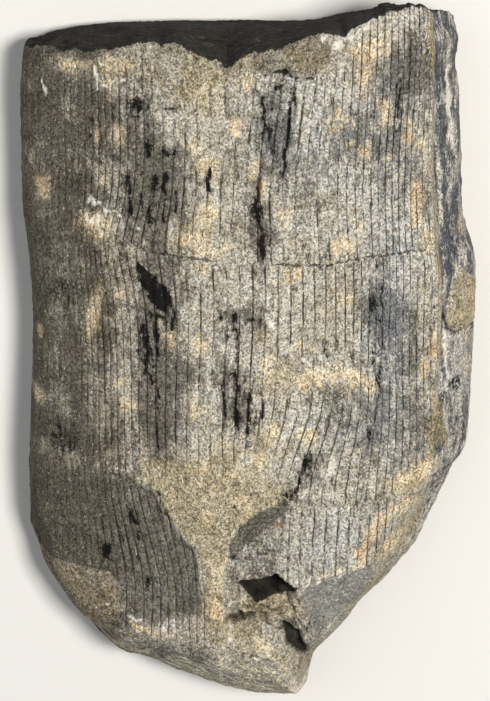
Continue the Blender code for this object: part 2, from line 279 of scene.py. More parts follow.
# %% Lines and patches of the breaks
left_panel_edge = through((
    (-46, -20), (-34, -22.8), (-26.8, -23.4), (-22, -25.2), (-18.6, -27), (-17.4, -30.3), (-14.9, -34.3),
    (-12.3, -37.3), (-10.4, -40.3), (-9.8, -45.7), (-8.9, -50.4), (-8.4, -58), (-7.8, -80),
))
right_panel_edge = through((
    (-6, -60), (-4.9, -45), (-4.3, -40.2), (-1.5, -33.6), (2.9, -30.3), (8, -28.4), (14, -18.5),
))
ledge = through((
    (-8, -46.8), (-1.8, -45.9), (1.4, -45.6), (4.2, -45.1), (5.8, -44.4), (7.1, -45.4), (8.4, -46.6),
    (9.7, -47.3), (12.2, -47), (13.2, -46), (17, -45.2), (20.8, -43.8), (24.3, -42.9), (30, -42),
))
strip_edge = through((
    (-75, 36.5), (-20, 37.4), (-4.4, 38.2), (6, 38.6), (14.3, 38.7), (24.6, 37.7), (32.8, 37.2), (42.9, 36.6),
    (52.9, 36.7), (69, 36),
))
HOLLOW = [
    (-1.8, -45.8), (5.8, -43.5), (10, -47.4), (9.2, -48.6), (6.4, -49), (3.6, -49.8), (1.4, -50.2),
    (0, -48.6),
]
CHIP = [
    (10.6, -50.5), (11.4, -48.4), (13.2, -46.2), (24.8, -42.6), (26, -45), (24, -50), (20, -53.6),
    (17.2, -56.6), (14.4, -60), (13.4, -57), (12.2, -54.2),
]
PIT = [
    (6.3, -56.6), (7.6, -55.6), (10.1, -56.9), (11.6, -59.3), (12.7, -63), (12.6, -66.4), (11.2, -65.2),
    (9.4, -63.2), (7.4, -60.4),
]
FOLD = [
    (-4.4, -40.3), (-3.4, -36.4), (-1.5, -33.2), (2.9, -30), (8.4, -28), (7.9, -29.6), (4.6, -33.8),
    (0.2, -37.6), (-3, -40.6),
]
PLAIN_FOLD = [
    (-4.8, -46.4), (-4.2, -40.4), (-1, -34.2), (3, -30.8), (7.8, -29.4), (7.6, -36), (6.6, -42), (6.2, -46),
]
CREVICES = (
    [(-3.6, -52.6), (0.5, -54.6), (3.6, -54.2)], [(1, -50.4), (4.5, -52.8), (7.4, -53.4)],
    [(8, -50), (10.4, -54.6), (12.4, -58.4)], [(3.4, -56), (6.6, -57.8)], [(-6.4, -49.4), (-4.2, -52)],
    [(9.6, -49.4), (10.6, -51.6)],
)
RIDGES = (
    ((4.2, -55), (9.8, -50), 0.7, 1.6), ((-3.6, -51.2), (3.2, -51.6), 0.7, 1.0),
    ((8.6, -54.6), (11.2, -51.4), 0.4, 1.3), ((11.4, -57.6), (9.8, -53.6), 0.45, 1.3),
    ((-3.4, -56.8), (3, -57.4), 0.8, 1.0), ((1, -54.8), (5.6, -53), 0.5, -1.0),
    ((5.6, -52), (9.4, -49.4), 0.5, -1.2),
)
SMALL_PIT = [(-5, -53.6), (0.7, -53.2), (2.4, -54.4), (0.7, -55.8), (-1.8, -56.4), (-4.6, -55.2)]
LEFT_CHIP = [
    (-46, -43), (-39, -44.2), (-28, -45.6), (-26.2, -49), (-25.4, -53), (-27.2, -56.4), (-30, -59.5),
    (-38, -62),
]
TOP_SCAR = [(-19.6, 66), (-8.6, 66), (-9.0, 57.7), (-11.5, 52.9), (-16.9, 52.3), (-18.8, 58.3)]
BLOCK = [
    (42.7, 18.7), (45.3, 16), (48, 12.9), (48, 6), (44.4, 5.2), (42.1, 5), (40.2, 6.6), (39.2, 10),
    (41, 14.5),
]
OCHRE_FLAKE = [
    (38.2, -6.8), (39, -8.9), (39.6, -12.1), (40.8, -16.9), (40.4, -19), (39.3, -18.5), (38, -16.4),
    (37.4, -13.2), (37.7, -10),
]
FLAKE = [
    (0.4, 59.9), (4.4, 59.2), (5.5, 59.5), (6.5, 60.4), (8, 59.5), (9.5, 58.6), (12.5, 58.9), (15, 60.3),
    (16.2, 62.7), (15.2, 69), (2, 69),
]
DENTS = (
    (-38, -17, 3, 3.4, 0.7), (-29, -41.3, 1.2, 2.2, 0.6), (-22.5, -37.8, 0.7, 1, 0.4),
    (-20.6, -47.6, 1.1, 1.4, 0.5), (-23.3, -32.6, 0.7, 1.5, 0.35), (-3.3, -1.3, 1, 0.8, 0.4),
    (-3.3, -40.6, 0.9, 0.9, 0.5), (42, -6, 1, 0.7, 0.6), (26.5, 16.5, 0.6, 0.7, 0.4),
)
LUMPS = (
    (-10, -9.5, 2.8, 3.6, 0.5), (-23.5, -8.6, 1.5, 1.2, 0.45), (-8.2, -7, 1.3, 1.1, 0.35),
    (-2.4, -22.6, 1.6, 1, 0.4), (5.4, -22, 1.1, 0.9, 0.3), (-16.4, 6.2, 1.4, 2.2, 0.35),
    (19.6, 14, 1.5, 1.3, 0.35), (-8, 31.5, 2, 1.8, 0.3), (35, -22.5, 2.6, 1.6, 0.4),
)
print("breaks:", len(CREVICES), "crevices,", len(RIDGES), "ridges and", len(DENTS + LUMPS), "dents and lumps")


# %% How the breaks lie
def wedge(x, y):
    """1 on the plain stone in the lower middle, between the two ribbed panels."""
    left = ramp(-0.3, 0.5, above(left_panel_edge, x, y) + 0.7 * waves(x, y, 5, 3))
    right = ramp(-0.2, 0.5, above(right_panel_edge, x, y) + 0.4 * waves(x, y, 4, 5))
    start = ramp(-14, -24, y + 5 * ramp(2, 12, x) + 3 * waves(x, y, 16, 8))
    return left * right * start * (1 - ramp(5, 11, x + 0.3 * (y + 20))) * ramp(-26, -18, x)


def broken_end(x):
    """The upper end with the small teeth of its broken edge."""
    return top_end(x) + 0.5 * crumble(x, 0 * x, 3.2, 57)


def rib_free(x, y):
    """1 where the ribbed skin is gone and plain stone shows, 0 where the ribs are whole."""
    tip = ramp(0, 0.6, -above(ledge, x, y)) * ramp(-9, -7.5, x)
    slope = ramp(-58, -63, y - 3 * ramp(-12, -30, x) + waves(x, y, 7, 4)) * ramp(-40, -30, x)
    left_chip = ramp(-0.5, 0.5, within(x, y, LEFT_CHIP) + 0.5 * waves(x, y, 4, 6))
    top_scar = ramp(-0.5, 0.5, within(x, y, TOP_SCAR) + 0.5 * waves(x, y, 4, 7))
    top_edge = ramp(-5, -2, y - top_end(x) + 1.5 * waves(x, y, 9, 9)) * (1 - ramp(17, 22, x))
    flake = ramp(-0.2, 0.2, within(x, y, FLAKE))
    right_slope = ramp(-2, 1, x - 29.5 - 0.75 * (y + 42)) * ramp(-29, -33, y)
    strip = ramp(-0.5, 0.3, x - strip_edge(y))
    fold = ramp(-0.4, 0.6, within(x, y, PLAIN_FOLD) + 0.5 * waves(x, y, 4, 10))
    patches = tip + slope + left_chip + top_scar + top_edge + flake + right_slope + strip + fold
    return np.clip(wedge(x, y) + patches, 0, 1)


def breaks(x, y):
    """How far the breaks stand out of the face, in millimetres."""
    under_ledge = -above(ledge, x, y)
    past_left_edge = -above(left_panel_edge, x, y)
    past_right_edge = -above(right_panel_edge, x, y)
    relief = -1.1 * ramp(-0.1, 0.6, past_left_edge) * ramp(-46, -20, x) * (1 - ramp(-48, -57, y))
    relief -= 0.7 * bell(from_path(x, y, [(-18.4, -26.6), (-17.4, -30.3), (-15, -34.2)]), 0.35)
    relief += wedge(x, y) * (0.9 * crumble(x, y, 7, 20) + 0.25 * crumble(x, y, 2.6, 21))
    fold = ramp(0, 3.2, past_right_edge) * ramp(-6, -4, x) * (1 - ramp(9, 20, x + 0.4 * (y + 35)))
    relief -= 1.5 * fold - 0.5 * ramp(3, 9, past_right_edge) * fold
    relief -= 6 * ramp(-0.1, 0.5, within(x, y, HOLLOW)) * ramp(-0.1, 0.5, under_ledge)
    rubble = ramp(0, 0.8, under_ledge) * ramp(-6, -1, x) * (1 - ramp(12.5, 14, x)) * (1 - ramp(-57, -61, y))
    relief -= rubble * (2.0 - 1.9 * crumble(0.7 * x + 0.4 * y, 1.5 * (0.8 * y - 0.6 * x), 6, 30))
    crease = [(8.2, -28.5), (2.9, -30.5), (-1.5, -33.8), (-4.3, -40.3)]
    relief -= 0.5 * bell(from_path(x, y, crease), 0.3)
    for crevice in CREVICES:
        relief -= 0.9 * bell(from_path(x, y, crevice), 0.35)
    for start, end, width, height in RIDGES:
        relief += height * rubble * bell(from_path(x, y, [start, end]), width)
    relief -= 4.5 * ramp(-0.5, 1.4, within(x, y, PIT) + 0.3 * waves(x, y, 3, 31))
    relief -= 1.2 * ramp(-0.3, 1.0, within(x, y, SMALL_PIT) + 0.2 * waves(x, y, 2.5, 32))
    relief -= 0.55 * ramp(-0.2, 0.5, within(x, y, LEFT_CHIP)) * (1 + 0.5 * crumble(x, y, 5, 33))
    relief -= 0.45 * ramp(-0.3, 0.8, within(x, y, TOP_SCAR)) * (1 + 0.6 * crumble(x, y, 7, 34))
    relief -= 0.7 * bell(from_path(x, y, [(-17.6, 52.7), (-15.5, 52.1), (-12.4, 53)]), 0.28)
    relief += 0.85 * ramp(-0.1, 0.3, within(x, y, FLAKE))
    relief -= 1.5 * ramp(0.6, 1.1, 2 - oval(x, y, (6.5, 59.5), (1.5, 0.8)))
    relief -= 1.3 * hump(x, y, (-6, 61.5), (7, 5))
    return relief


def side_strip(x, y):
    """The right flank, with the block of sandstone that stuck to it and the hollow above the block."""
    tilt = 1 - 0.35 * ramp(0, 1.2, 43.6 + 0.25 * (y - 12) - x) + 0.5 * crumble(x, y, 4, 41)
    block = 2.2 * ramp(-0.2, 0.5, within(x, y, BLOCK)) * tilt
    off_edge = x - strip_edge(y)
    crease = -0.9 * bell(off_edge - 0.5, 0.45) * ramp(-24, -18, y) * (0.7 + 0.5 * waves(x, y, 14, 42))
    flake = 0.7 * ramp(-0.15, 0.3, within(x, y, OCHRE_FLAKE))
    rough = 0.35 * crumble(x, y / 2, 4, 40) * ramp(0, 1, off_edge)
    ridge = 0.45 * bell(off_edge + 0.5, 0.45) * ramp(-24, -18, y) * (0.6 + 0.7 * waves(x, y, 11, 96))
    return block + crease + flake + rough + ridge - 0.9 * hump(x, y, (40.5, 23), (3, 7))


def small_hollows(x, y):
    """Places where a flake of coal or a grain fell out."""
    return -sum(depth * (1 - ramp(0.6, 1.2, oval(x, y, dent[:2], dent[2:]))) for *dent, depth in DENTS)


def lumps(x, y):
    """Lumps of silt that stuck to the ribbed skin."""
    rough = 0.12 * crumble(x, y, 2.5, 95)
    return sum(height * ramp(1.3, 0.5, oval(x, y, lump[:2], lump[2:]) + rough) for *lump, height in LUMPS)


def ribbed_face(rib, x, y):
    """Height of the ribbed face without its ribs, and how strong the ribs are there."""
    whole = section(rib_place(rib)) - 3.5 * ramp(-20, -75, y)
    whole += 0.35 * waves(x, y, 30, 1) + 0.12 * waves(x, y, 9, 2)
    whole += breaks(x, y) + side_strip(x, y) + small_hollows(x, y) + lumps(x, y)
    on_flat = ramp(0, 6, whole - RIM_HEIGHT)
    for joint in (upper_joint, lower_joint):
        off = y - joint(x) + 0.4 * waves(x, y, 4, 55)
        furrow = 0.12 + 0.25 * np.clip(waves(x, 0 * y, 22, 56) + 0.4, 0, 1)
        whole += on_flat * (0.35 * bell(off, 5) - furrow * bell(off, 0.6))
    inward = np.clip((above(bottom_end, x, y) + 0.5 * waves(x, y, 11, 51)) / bottom_slope(x), 0, 1)
    whole = RIM_HEIGHT + np.maximum(whole - RIM_HEIGHT, 0) * (1 - (1 - inward) ** 1.5) ** (1 / 1.5)
    chip_face = 24.3 - 0.155 * (x - 12.5) + 0.356 * (y + 48) + 0.1 * waves(x, y, 6, 50)
    struck = ramp(-0.15, 0.15, within(x, y, CHIP))
    whole += struck * np.minimum(chip_face - whole, 0)
    whole += on_flat * (0.16 + 0.2 * rib_free(x, y)) * crumble(x, 0.7 * y, 5, 54)
    edge = np.clip(-above(top_end, x, y) / 1.6, 0, 1)
    whole -= (0.9 + 0.5 * waves(x, y, 4, 52)) * (1 - edge) ** 2 * on_flat
    worn = np.clip(0.8 + 0.3 * waves(x, y / 2, 9, 58), 0, 1) * (1 - 0.55 * ramp(-30, -38, x))
    return whole, on_flat * (1 - rib_free(x, y)) * (1 - 0.7 * struck) * ramp(0.3, 0.7, inward) * worn


# %% [markdown]
# ## The back and the rim
#
# Nobody sees the back in a drawer, but the stone has one: it is flat where it lies, with a few shallow
# hollows, and lifts towards its rim. Between the two faces runs the broken side, whose rings of points are
# mixed from the rim above and the rim below. The upper end broke in two planes with a crevice between them.


# %% Back and side
UNDER_INSET, BACK_INSET, BACK_TOP_INSET = 2.5, 4.5, 2.0


def underside(x, y):
    """Height of the back: flat on the ground, and lifted towards its rim, with shallow hollows."""
    inward = np.minimum.reduce([
        x - left_side(y) - UNDER_INSET, right_side(y) - UNDER_INSET - x, -above(top_end_under, x, y),
        above(bottom_end, x, y - UNDER_INSET),
    ])
    lift = (UNDER_RIM_HEIGHT + 0.5 * waves(x, y, 12, 60)) * (1 - ramp(0, 9, np.maximum(inward, 0)))
    hollows = 1.3 * np.maximum(crumble(x, y, 26, 61) - 0.15, 0) * ramp(1, 7, inward)
    return np.maximum(lift, 0) + hollows


def side_rings(front_rim, under_rim, rows):
    """The rings of points between the rim of the ribbed face and the rim below it."""
    ahead = np.roll(front_rim, -3, axis=0) - np.roll(front_rim, 3, axis=0)
    outward = np.stack([-ahead[:, 1], ahead[:, 0]], axis=1)
    outward /= np.linalg.norm(outward, axis=1)[:, None]
    at_end = ramp(RIM_HEIGHT, RIM_HEIGHT + 4, front_rim[:, 2])
    way_round = np.cumsum(np.linalg.norm(ahead, axis=1)) / 6
    rings = []
    for row in range(1, rows + 1):
        down = row / rows
        bow = 4 * down * (1 - down)
        ring = front_rim * (1 - down) + under_rim * down
        split = 0.2 + 0.63 * ramp(-16, 6, ring[:, 0]) - 0.3 * ramp(6, 30, ring[:, 0])
        plane = 0.9 * (1 - ramp(-0.02, 0.06, down - split)) * ramp(-20, -14, ring[:, 0]) * bow * at_end
        ledges = 0.5 * at_end * bow * waves(ring[:, 0] / 6, ring[:, 2] + 0.1 * ring[:, 0], 3.6, 71)
        push = 0.8 * bow * (1 - at_end) + plane + ledges
        push += bow * 0.45 * crumble(way_round, ring[:, 2] * 1.3, 7, 70)
        ring[:, :2] += outward * push[:, None]
        rings.append(ring)
    return rings


# %% [markdown]
# ## One closed mesh
#
# The front is a grid whose columns follow the ribs and whose rows run from one stem joint to the next, so
# that a rib never crosses a column. Six columns to a rib are set close beside the groove, where the shape
# turns fast. The rim of that grid is drawn down as rings, and a grid half as fine closes the back. That keeps
# the piece under 200,000 triangles with the points where the eye needs them.

# %% Rows, columns and the grids
BESIDE_A_GROOVE = np.array([0, 0.11, 0.34, 0.5, 0.66, 0.89])
ROWS = (56, 60, 84)
SIDE_ROWS = 12


def face_grid(columns, falls, top, inset=0.0, top_inset=0.0):
    """Rib number, x, y and fall of a face's points, row by row from the top end."""
    rib, fall = np.meshgrid(columns, falls)
    rib, fall = rib.ravel(), fall.ravel()
    x, y = plan(rib_place(rib), fall, top, inset, top_inset)
    return rib, x, y, fall


def grid_faces(start, columns, rows):
    """Four-sided faces of a grid of points numbered row by row from start."""
    j, i = np.meshgrid(np.arange(rows), np.arange(columns), indexing="ij")
    first = (start + j * (columns + 1) + i).ravel()
    return np.stack([first, first + columns + 1, first + columns + 2, first + 1], axis=1)


def grid_rim(start, columns, rows):
    """Point numbers round such a grid, from its first corner along the top end, then down the right side."""
    wide = columns + 1
    return start + np.concatenate([
        np.arange(columns), np.arange(rows) * wide + columns, rows * wide + np.arange(columns, 0, -1),
        np.arange(rows, 0, -1) * wide,
    ])


columns = np.append((np.arange(RIBS)[:, None] + BESIDE_A_GROOVE).ravel(), RIBS)
falls = np.append(np.concatenate([i + np.linspace(0, 1, n, endpoint=False) for i, n in enumerate(ROWS)]), 3.0)
rib, x, y, fall = face_grid(columns, falls, broken_end)
height, rib_strength = ribbed_face(rib, x, y)
front = np.stack([x, y, height], axis=1)
print("front:", len(columns) - 1, "columns and", len(falls) - 1, "rows")

# %% Front, side and back in one list of points
rim = grid_rim(0, len(columns) - 1, len(falls) - 1)
_, under_x, under_y, _ = face_grid(columns, falls, top_end_under, UNDER_INSET)
under_rim = np.stack([under_x, under_y, np.full(len(under_x), UNDER_RIM_HEIGHT)], axis=1)[rim]
under_rim[:, 2] += 0.5 * waves(under_rim[:, 0], under_rim[:, 1], 12, 60)
rings = side_rings(front[rim], under_rim, SIDE_ROWS)
_, back_x, back_y, _ = face_grid(columns[::2], falls[::2], top_end_under, BACK_INSET, BACK_TOP_INSET)
back = np.stack([back_x, back_y, underside(back_x, back_y)], axis=1)
points = np.concatenate([front, *rings, back])

quads = [grid_faces(0, len(columns) - 1, len(falls) - 1)]
ring = rim
for row in range(SIDE_ROWS):
    below = len(front) + row * len(rim) + np.arange(len(rim))
    quads.append(np.stack([ring, np.roll(ring, -1), np.roll(below, -1), below], axis=1))
    ring = below
back_start = len(front) + SIDE_ROWS * len(rim)
back_columns, back_rows = len(columns[::2]) - 1, len(falls[::2]) - 1
quads.append(grid_faces(back_start, back_columns, back_rows)[:, ::-1])
inner = grid_rim(back_start, back_columns, back_rows)
first, middle, last = ring[::2], ring[1::2], np.roll(ring[::2], -1)
ahead = np.roll(inner, -1)
seam = np.concatenate([
    np.stack([first, middle, inner], axis=1), np.stack([middle, ahead, inner], axis=1),
    np.stack([middle, last, ahead], axis=1),
])
faces = [face for group in quads for face in group.tolist()] + seam.tolist()
print("points:", len(points), "triangles:", 2 * sum(map(len, quads)) + len(seam))

# %% [markdown]
# ## What lies on the stone
#
# The colours of the plate tell its story: black coal where the film is whole, grey where it is a thin stain,
# tan where the plain silt shows, ochre where iron has rusted, and white where it was scratched. Some white is a
# painted highlight, on the upper rim and at the tip, and black in pits and cracks is painted shade. Each of
# these is a value at every point of the mesh, made from a short list of patches and streaks. The material later
# frays their borders with a fine pattern, so that they don't look painted on.
#
# A mark is a patch (x, y, two half sizes and maybe a turn) or a streak (a half width and the points it runs
# through). The broad tables give x, y, two half sizes, an amount and maybe a turn, and a painted crack shadow
# is its darkness, its half width and its path.

# %% Patches and streaks
COAL_LEAF = [
    (-22.6, 23), (-21.8, 21.2), (-20.3, 20), (-17.7, 17.4), (-15.1, 15.6), (-15.2, 12.6), (-16.4, 11),
    (-18, 11.6), (-19.3, 13.2), (-20.7, 15.6), (-21.4, 17.2), (-21.9, 19.6),
]
COAL = (
    (-19.6, 10.4, 0.8, 1.6, 10), (-17.2, 9.6, 0.9, 0.7), (-18.4, 7, 0.6, 2, 5), (-21.3, 7, 0.4, 1.5),
    (-21.5, 3, 0.4, 1), (-18, 2.6, 0.6, 0.8), (-19.9, 4.4, 0.35, 1.2), (0.3, (-15.2, 14), (-14.8, 8)),
    (0.26, (-20.3, 11), (-20.4, 2), (-19.8, -3)), (0.16, (-18.3, -3), (-18, -18)),
    (-15.8, 43.3, 1.3, 0.9, 10), (-19.6, 43.6, 0.6, 1.4), (0.55, (-18.4, 38), (-18.9, 34), (-19.6, 29)),
    (0.3, (-16.2, 40), (-16.6, 29)), (0.35, (-23.6, 38.5), (-23.4, 31)), (-21.8, 52.5, 1.3, 1.6),
    (0.22, (-14.2, 36), (-14.4, 32)), (0.3, (-7.5, 40), (-8, 36.5)), (0.3, (2.6, 55), (3.4, 50), (4.5, 46)),
    (5.2, 44.2, 0.8, 0.7), (6, 56.5, 0.7, 1, -20), (9, 55.5, 0.35, 1.4, 5),
    (0.3, (3.2, 43), (2.2, 38), (1.5, 33), (2.6, 28), (2.9, 24)), (2.7, 25.2, 0.7, 2.6),
    (1.6, 32.5, 0.8, 1.5), (0.22, (8.4, 56), (7.8, 48), (7.2, 40)), (-3.3, -1.3, 1.1, 0.7, 5),
    (-5, 10.4, 0.5, 0.4), (-2.4, 10.9, 0.4, 0.6), (0.6, 10.6, 0.6, 0.5, 20), (2.4, 10, 0.4, 0.9),
    (0.18, (-2.2, 9.5), (-2.3, 0), (-2.1, -14)), (0.24, (0.1, -5), (0.2, -14)),
    (0.22, (-4.8, -4), (-4.7, -12)), (0.5, -10.2, 0.8, 0.9), (-2.1, -9.4, 0.6, 1.4),
    (0.25, (2.9, -6.5), (2.9, -10)), (25.2, 12.8, 0.7, 1.1), (0.13, (26.6, 16), (26.6, 3), (25.6, -10)),
    (24.6, -14.5, 0.4, 1.6, -12), (41.9, -5.6, 0.9, 0.8), (-29, -41.3, 1, 2.1, 8),
    (0.35, (-23.6, -31), (-23.2, -34)), (-20.6, -47.6, 0.8, 0.8), (0.4, (-22.8, -36), (-22.2, -38.6)),
    (0.4, (12.2, -19.5), (9.8, -26)), (8, -26.5, 0.7, 1.1, -25),
    (0.16, (-18.4, -26.6), (-17.4, -30.3), (-15.6, -33)), (0.18, (-3.9, -28.7), (-2.7, -28.9)),
    (0.18, (0, -26.2), (1.8, -26)), (0.12, (29.4, 57), (29.6, 51)), (0.12, (31.5, 62), (31.8, 55)),
)
COALY = (
    (-18.5, 35, 4.5, 8, 0.32), (-24.5, 35, 2.5, 9, 0.24), (-19, 2, 3.5, 14, 0.28), (-20.5, 50, 3, 6, 0.26),
    (4, 46, 3, 10, 0.28), (2.4, 31, 1.6, 9, 0.26), (7, 55, 4, 4, 0.28), (-1.4, -5, 4, 9, 0.26),
    (26, 6, 2, 15, 0.28), (13, -21, 4, 6, 0.32), (-21, -40, 8, 10, 0.22), (29.5, 54, 3.5, 9, 0.26),
    (-2, 8, 3.4, 4, 0.26), (-37, -18, 3.4, 4, 0.5), (-37, 14, 2.6, 5, 0.42), (-31, 45, 3, 6, 0.3),
    (14, 21, 10, 2, 0.16), (17, 5, 3, 3, 0.24),
)
TAN = (
    (-8, 31.5, 2.6, 2.2), (-11.5, 26, 3.6, 1.6, -10), (-7, 24, 2.6, 1.3, 20), (-9.3, 20, 1.3, 1.2),
    (-16.6, 6.4, 1.7, 2, 30), (-23.5, -8.5, 1.9, 1.4), (-10.5, -8.5, 1.8, 1.6), (-6, -16, 1.4, 1, 20),
    (9.4, 19.4, 2.2, 1.1, 35), (19.6, 14, 1.7, 1.4), (18.6, 25, 2.2, 1.7, 20), (7.3, 31, 1.3, 1.7),
    (17.5, 51.6, 1.1, 1.2), (0.5, (15.8, 47.4), (20.2, 49.8)), (20, 45.6, 1.2, 0.9), (22.6, 43.6, 1.2, 1.3),
    (27.6, 42.3, 0.8, 0.8), (34.2, 44.5, 1.1, 1.4), (31.5, 47.5, 1, 3.4, -5), (33.2, 33, 1.4, 4.4),
    (35.8, 25.5, 1.6, 2.2), (22.4, 29, 1.3, 1.4), (10.5, 4.2, 2, 0.9), (-2.5, -22.5, 1.6, 0.9, 10),
    (1.5, (11, -3), (14, -1.4), (19, -1), (24.5, -3.4)), (12, -14, 2, 1.4), (35.6, -1, 1, 2),
    (37.6, 3, 0.6, 3), (36, -22, 3.6, 2, 5), (31.5, -24.4, 3.5, 1.6, 10),
    (1.2, (22.8, -41), (24.4, -36), (27, -32.4), (33, -29.5)), (46.2, 10.4, 0.9, 3.4), (43.2, 26, 1, 2.2),
    (44.6, 4, 0.7, 2.2), (44.8, -3, 0.7, 2), (-30.4, 28.2, 3.4, 2.4, -20), (-29.8, 46.2, 1, 1.2),
    (-28.9, 37.2, 1, 1.3), (-10.4, 44.8, 1.5, 1.8), (-9.6, 4.8, 1.6, 1.5), (-25.4, -3.7, 1.5, 1.1),
    (-15.6, 5.8, 1.4, 2.3, 10), (-25, 14.4, 1.8, 1.2, 20), (-27.4, 57, 0.8, 1), (-41, 34.5, 1.8, 2.4),
    (-42.2, 4.5, 0.8, 1.6), (-43, -9.5, 1.3, 2), (-8.6, -21, 1.6, 1.3, -20), (-1, -27.5, 2, 1.3),
    (-8, -31.5, 1.2, 2, -30), (-6.3, -46, 1, 5, -8), (-6.5, -51, 1.6, 3), (-7.5, 41.5, 1.8, 1.6),
    (-2.4, 49, 1.6, 1.6), (-0.4, 57.5, 1.4, 0.9, 20), (3.5, 1, 1.4, 1.6), (5.2, -13.5, 1.4, 1.6),
    (2.4, -19.2, 1.8, 1.2), (29.6, -38.6, 1.2, 3.4, -40), (3.2, -60.6, 2.4, 1.1, -25),
    (5.5, -66, 2.4, 0.8, 30), (0.55, (-34.5, -57.5), (-29.5, -62.2), (-19.5, -66.6), (-8, -70.8), (1, -74)),
    (0.6, (-24, -56.5), (-21, -58.5), (-16, -59)), (0.5, (24.4, -42.9), (21, -43.8), (15, -45.6)),
    (1.5, 40.8, 1.4, 1.6), (2.8, 36.5, 1, 2.4), (22.5, 59, 1.6, 3.4), (27, 51.5, 1.2, 3),
    (24, 64.5, 4, 2.6, 30), (-25.5, 46.5, 1.3, 2), (-34.5, 60, 3, 1.6), (-26, 60.5, 3, 1.4),
    (-31, 10, 1.1, 5, -12),
)
WHITE_SCRATCHES_AND_HIGHLIGHTS = (
    (0.42, (3.7, 16), (4.0, 11), (4.5, 8)), (0.4, (7, 14.6), (7.2, 11)), (0.3, (-21.9, 28.8), (-21.4, 28.2)),
    (0.3, (-25, 57.4), (-24.2, 56.6)), (0.2, (-41.2, 57.5), (-40.4, 54)), (16.6, -20.4, 1.1, 2.2, -25),
    (12.4, -25.6, 0.9, 2.2, -32), (0.5, (15.4, -24.4), (14.8, -26.4)), (0.3, (12.8, -25.4), (12.2, -27)),
    (0.2, (20, -28.5), (20.8, -32)), (-3.5, -58, 0.9, 1.9), (0.14, (-13.4, -22), (-13.4, -28)),
    (-30.4, 29, 1.6, 1, -25), (-29.4, 27.4, 1.2, 0.6, -30), (-23, -55.4, 2, 0.7, -15),
    (-16.4, -58, 2.2, 0.5, -10), (0.3, (-30, 59), (-29.4, 55), (-26, 57)),
    (0.35, (-34, 32.5), (-30, 33), (-24.6, 29.4)), (0.35, (11.3, 2.4), (12.6, 0.4)), (15.8, -1, 0.9, 0.5),
    (0.35, (39.6, 58), (40.6, 42)), (17.3, -26.5, 0.7, 0.7), (0.34, (39.6, 8), (40.6, -7)),
    # The patch at the tip, last on the next line, is a painted highlight on the lit corner.
    (0.7, (44.5, -22), (45.6, -18)), (10.6, -74, 2.2, 2.6),
    (0.25, (9.7, -47.2), (12.2, -46.9), (13.2, -45.9), (17, -45.1), (20.8, -43.7), (24.3, -42.8)),
    # The streak along the upper rim, first on the next line, is a painted highlight on that edge.
    (0.8, (14.6, 66.4), (18.4, 66.2), (20.2, 67.8), (24.4, 70)), (8.5, -31, 0.8, 0.4, 20),
)
RUST = (
    (0.5, (37.9, 21), (38.3, 15.5)), (37, 3, 0.6, 2.4), (2.4, 37, 0.6, 2), (2.8, 42, 0.8, 1),
    (24.3, -38.2, 0.8, 2.6, -20), (31.2, 47, 0.5, 2), (6.8, -34, 1.1, 1.6), (-42, 4.5, 0.5, 1.2),
    (-33, 60.2, 1.2, 0.8), (35, 12, 0.4, 4),
)
BROAD_TAN = (
    (-9, -9.5, 3.4, 3.6, 0.8), (-5, -18, 6, 4, 0.9, 20), (-6, -26, 8, 6, 1), (-8, -34, 4, 6, 0.9, -20),
    (-5.5, -46, 2.4, 8, 0.8, -8), (6, -2.5, 5, 4.4, 0.9, 10), (4, -16, 5, 6, 0.8), (3.5, 6, 3, 4, 0.6),
    (-9, 40, 4, 4, 0.6), (-9.5, 57, 5.5, 6, 1), (0, 61, 4, 3, 0.9, 20), (10.5, 62, 6, 4, 0.8),
    (24, 62, 5, 4, 0.7, 30), (-3, -57, 8, 5, 0.9, -10), (3, -62, 7, 3, 0.9, -25), (31, -38, 3.4, 8, 1, -40),
    (23, -51, 2, 7, 1, -42), (34, -24, 7, 3, 0.8, 10), (16, 30, 6, 6, 0.4), (-12, 27, 6, 4, 0.7),
    (-31, 14, 5, 12, 0.35), (-26, -6, 5, 6, 0.35), (20, 45, 8, 8, 0.3), (35, 46, 3, 16, 0.5),
    (43, 12, 3, 6, 0.9), (4.5, -52, 7.5, 4, 1.2), (-42, 34, 3, 8, 0.5), (-28, 60, 12, 3, 0.6),
    (-42, -2, 3, 14, 0.4),
)
LINES = (
    (-21, 36, 7, 14, 0.4), (-21, 0, 8, 26, 0.4), (-9, 36, 4, 8, 0.15), (-4, 50, 6, 12, -0.3),
    (2.5, 38, 2, 22, 0.4), (8, 48, 4, 10, 0.3), (27, 46, 8, 22, 0.3), (-1, -3, 4, 14, 0.45),
    (9, -3, 6, 6, -0.3), (15, 13, 7, 9, 0.35), (14, -20, 7, 9, 0.45), (30, 0, 7, 18, 0.1),
    (-20, -42, 9, 14, 0.25), (18, -36, 12, 6, 0.1), (-8, 26, 7, 5, -0.3), (-9, -8, 4, 5, -0.25),
    (-8, 10, 4, 9, -0.1), (20, 26, 10, 3, -0.15), (33, -23, 8, 4, -0.2), (-40, 20, 5, 40, -0.1),
    (-18, -4, 5, 22, 0.5), (21, -2.5, 8, 3.5, -0.3), (16, 40, 8, 13, -0.22), (36, 40, 4, 16, -0.15),
)
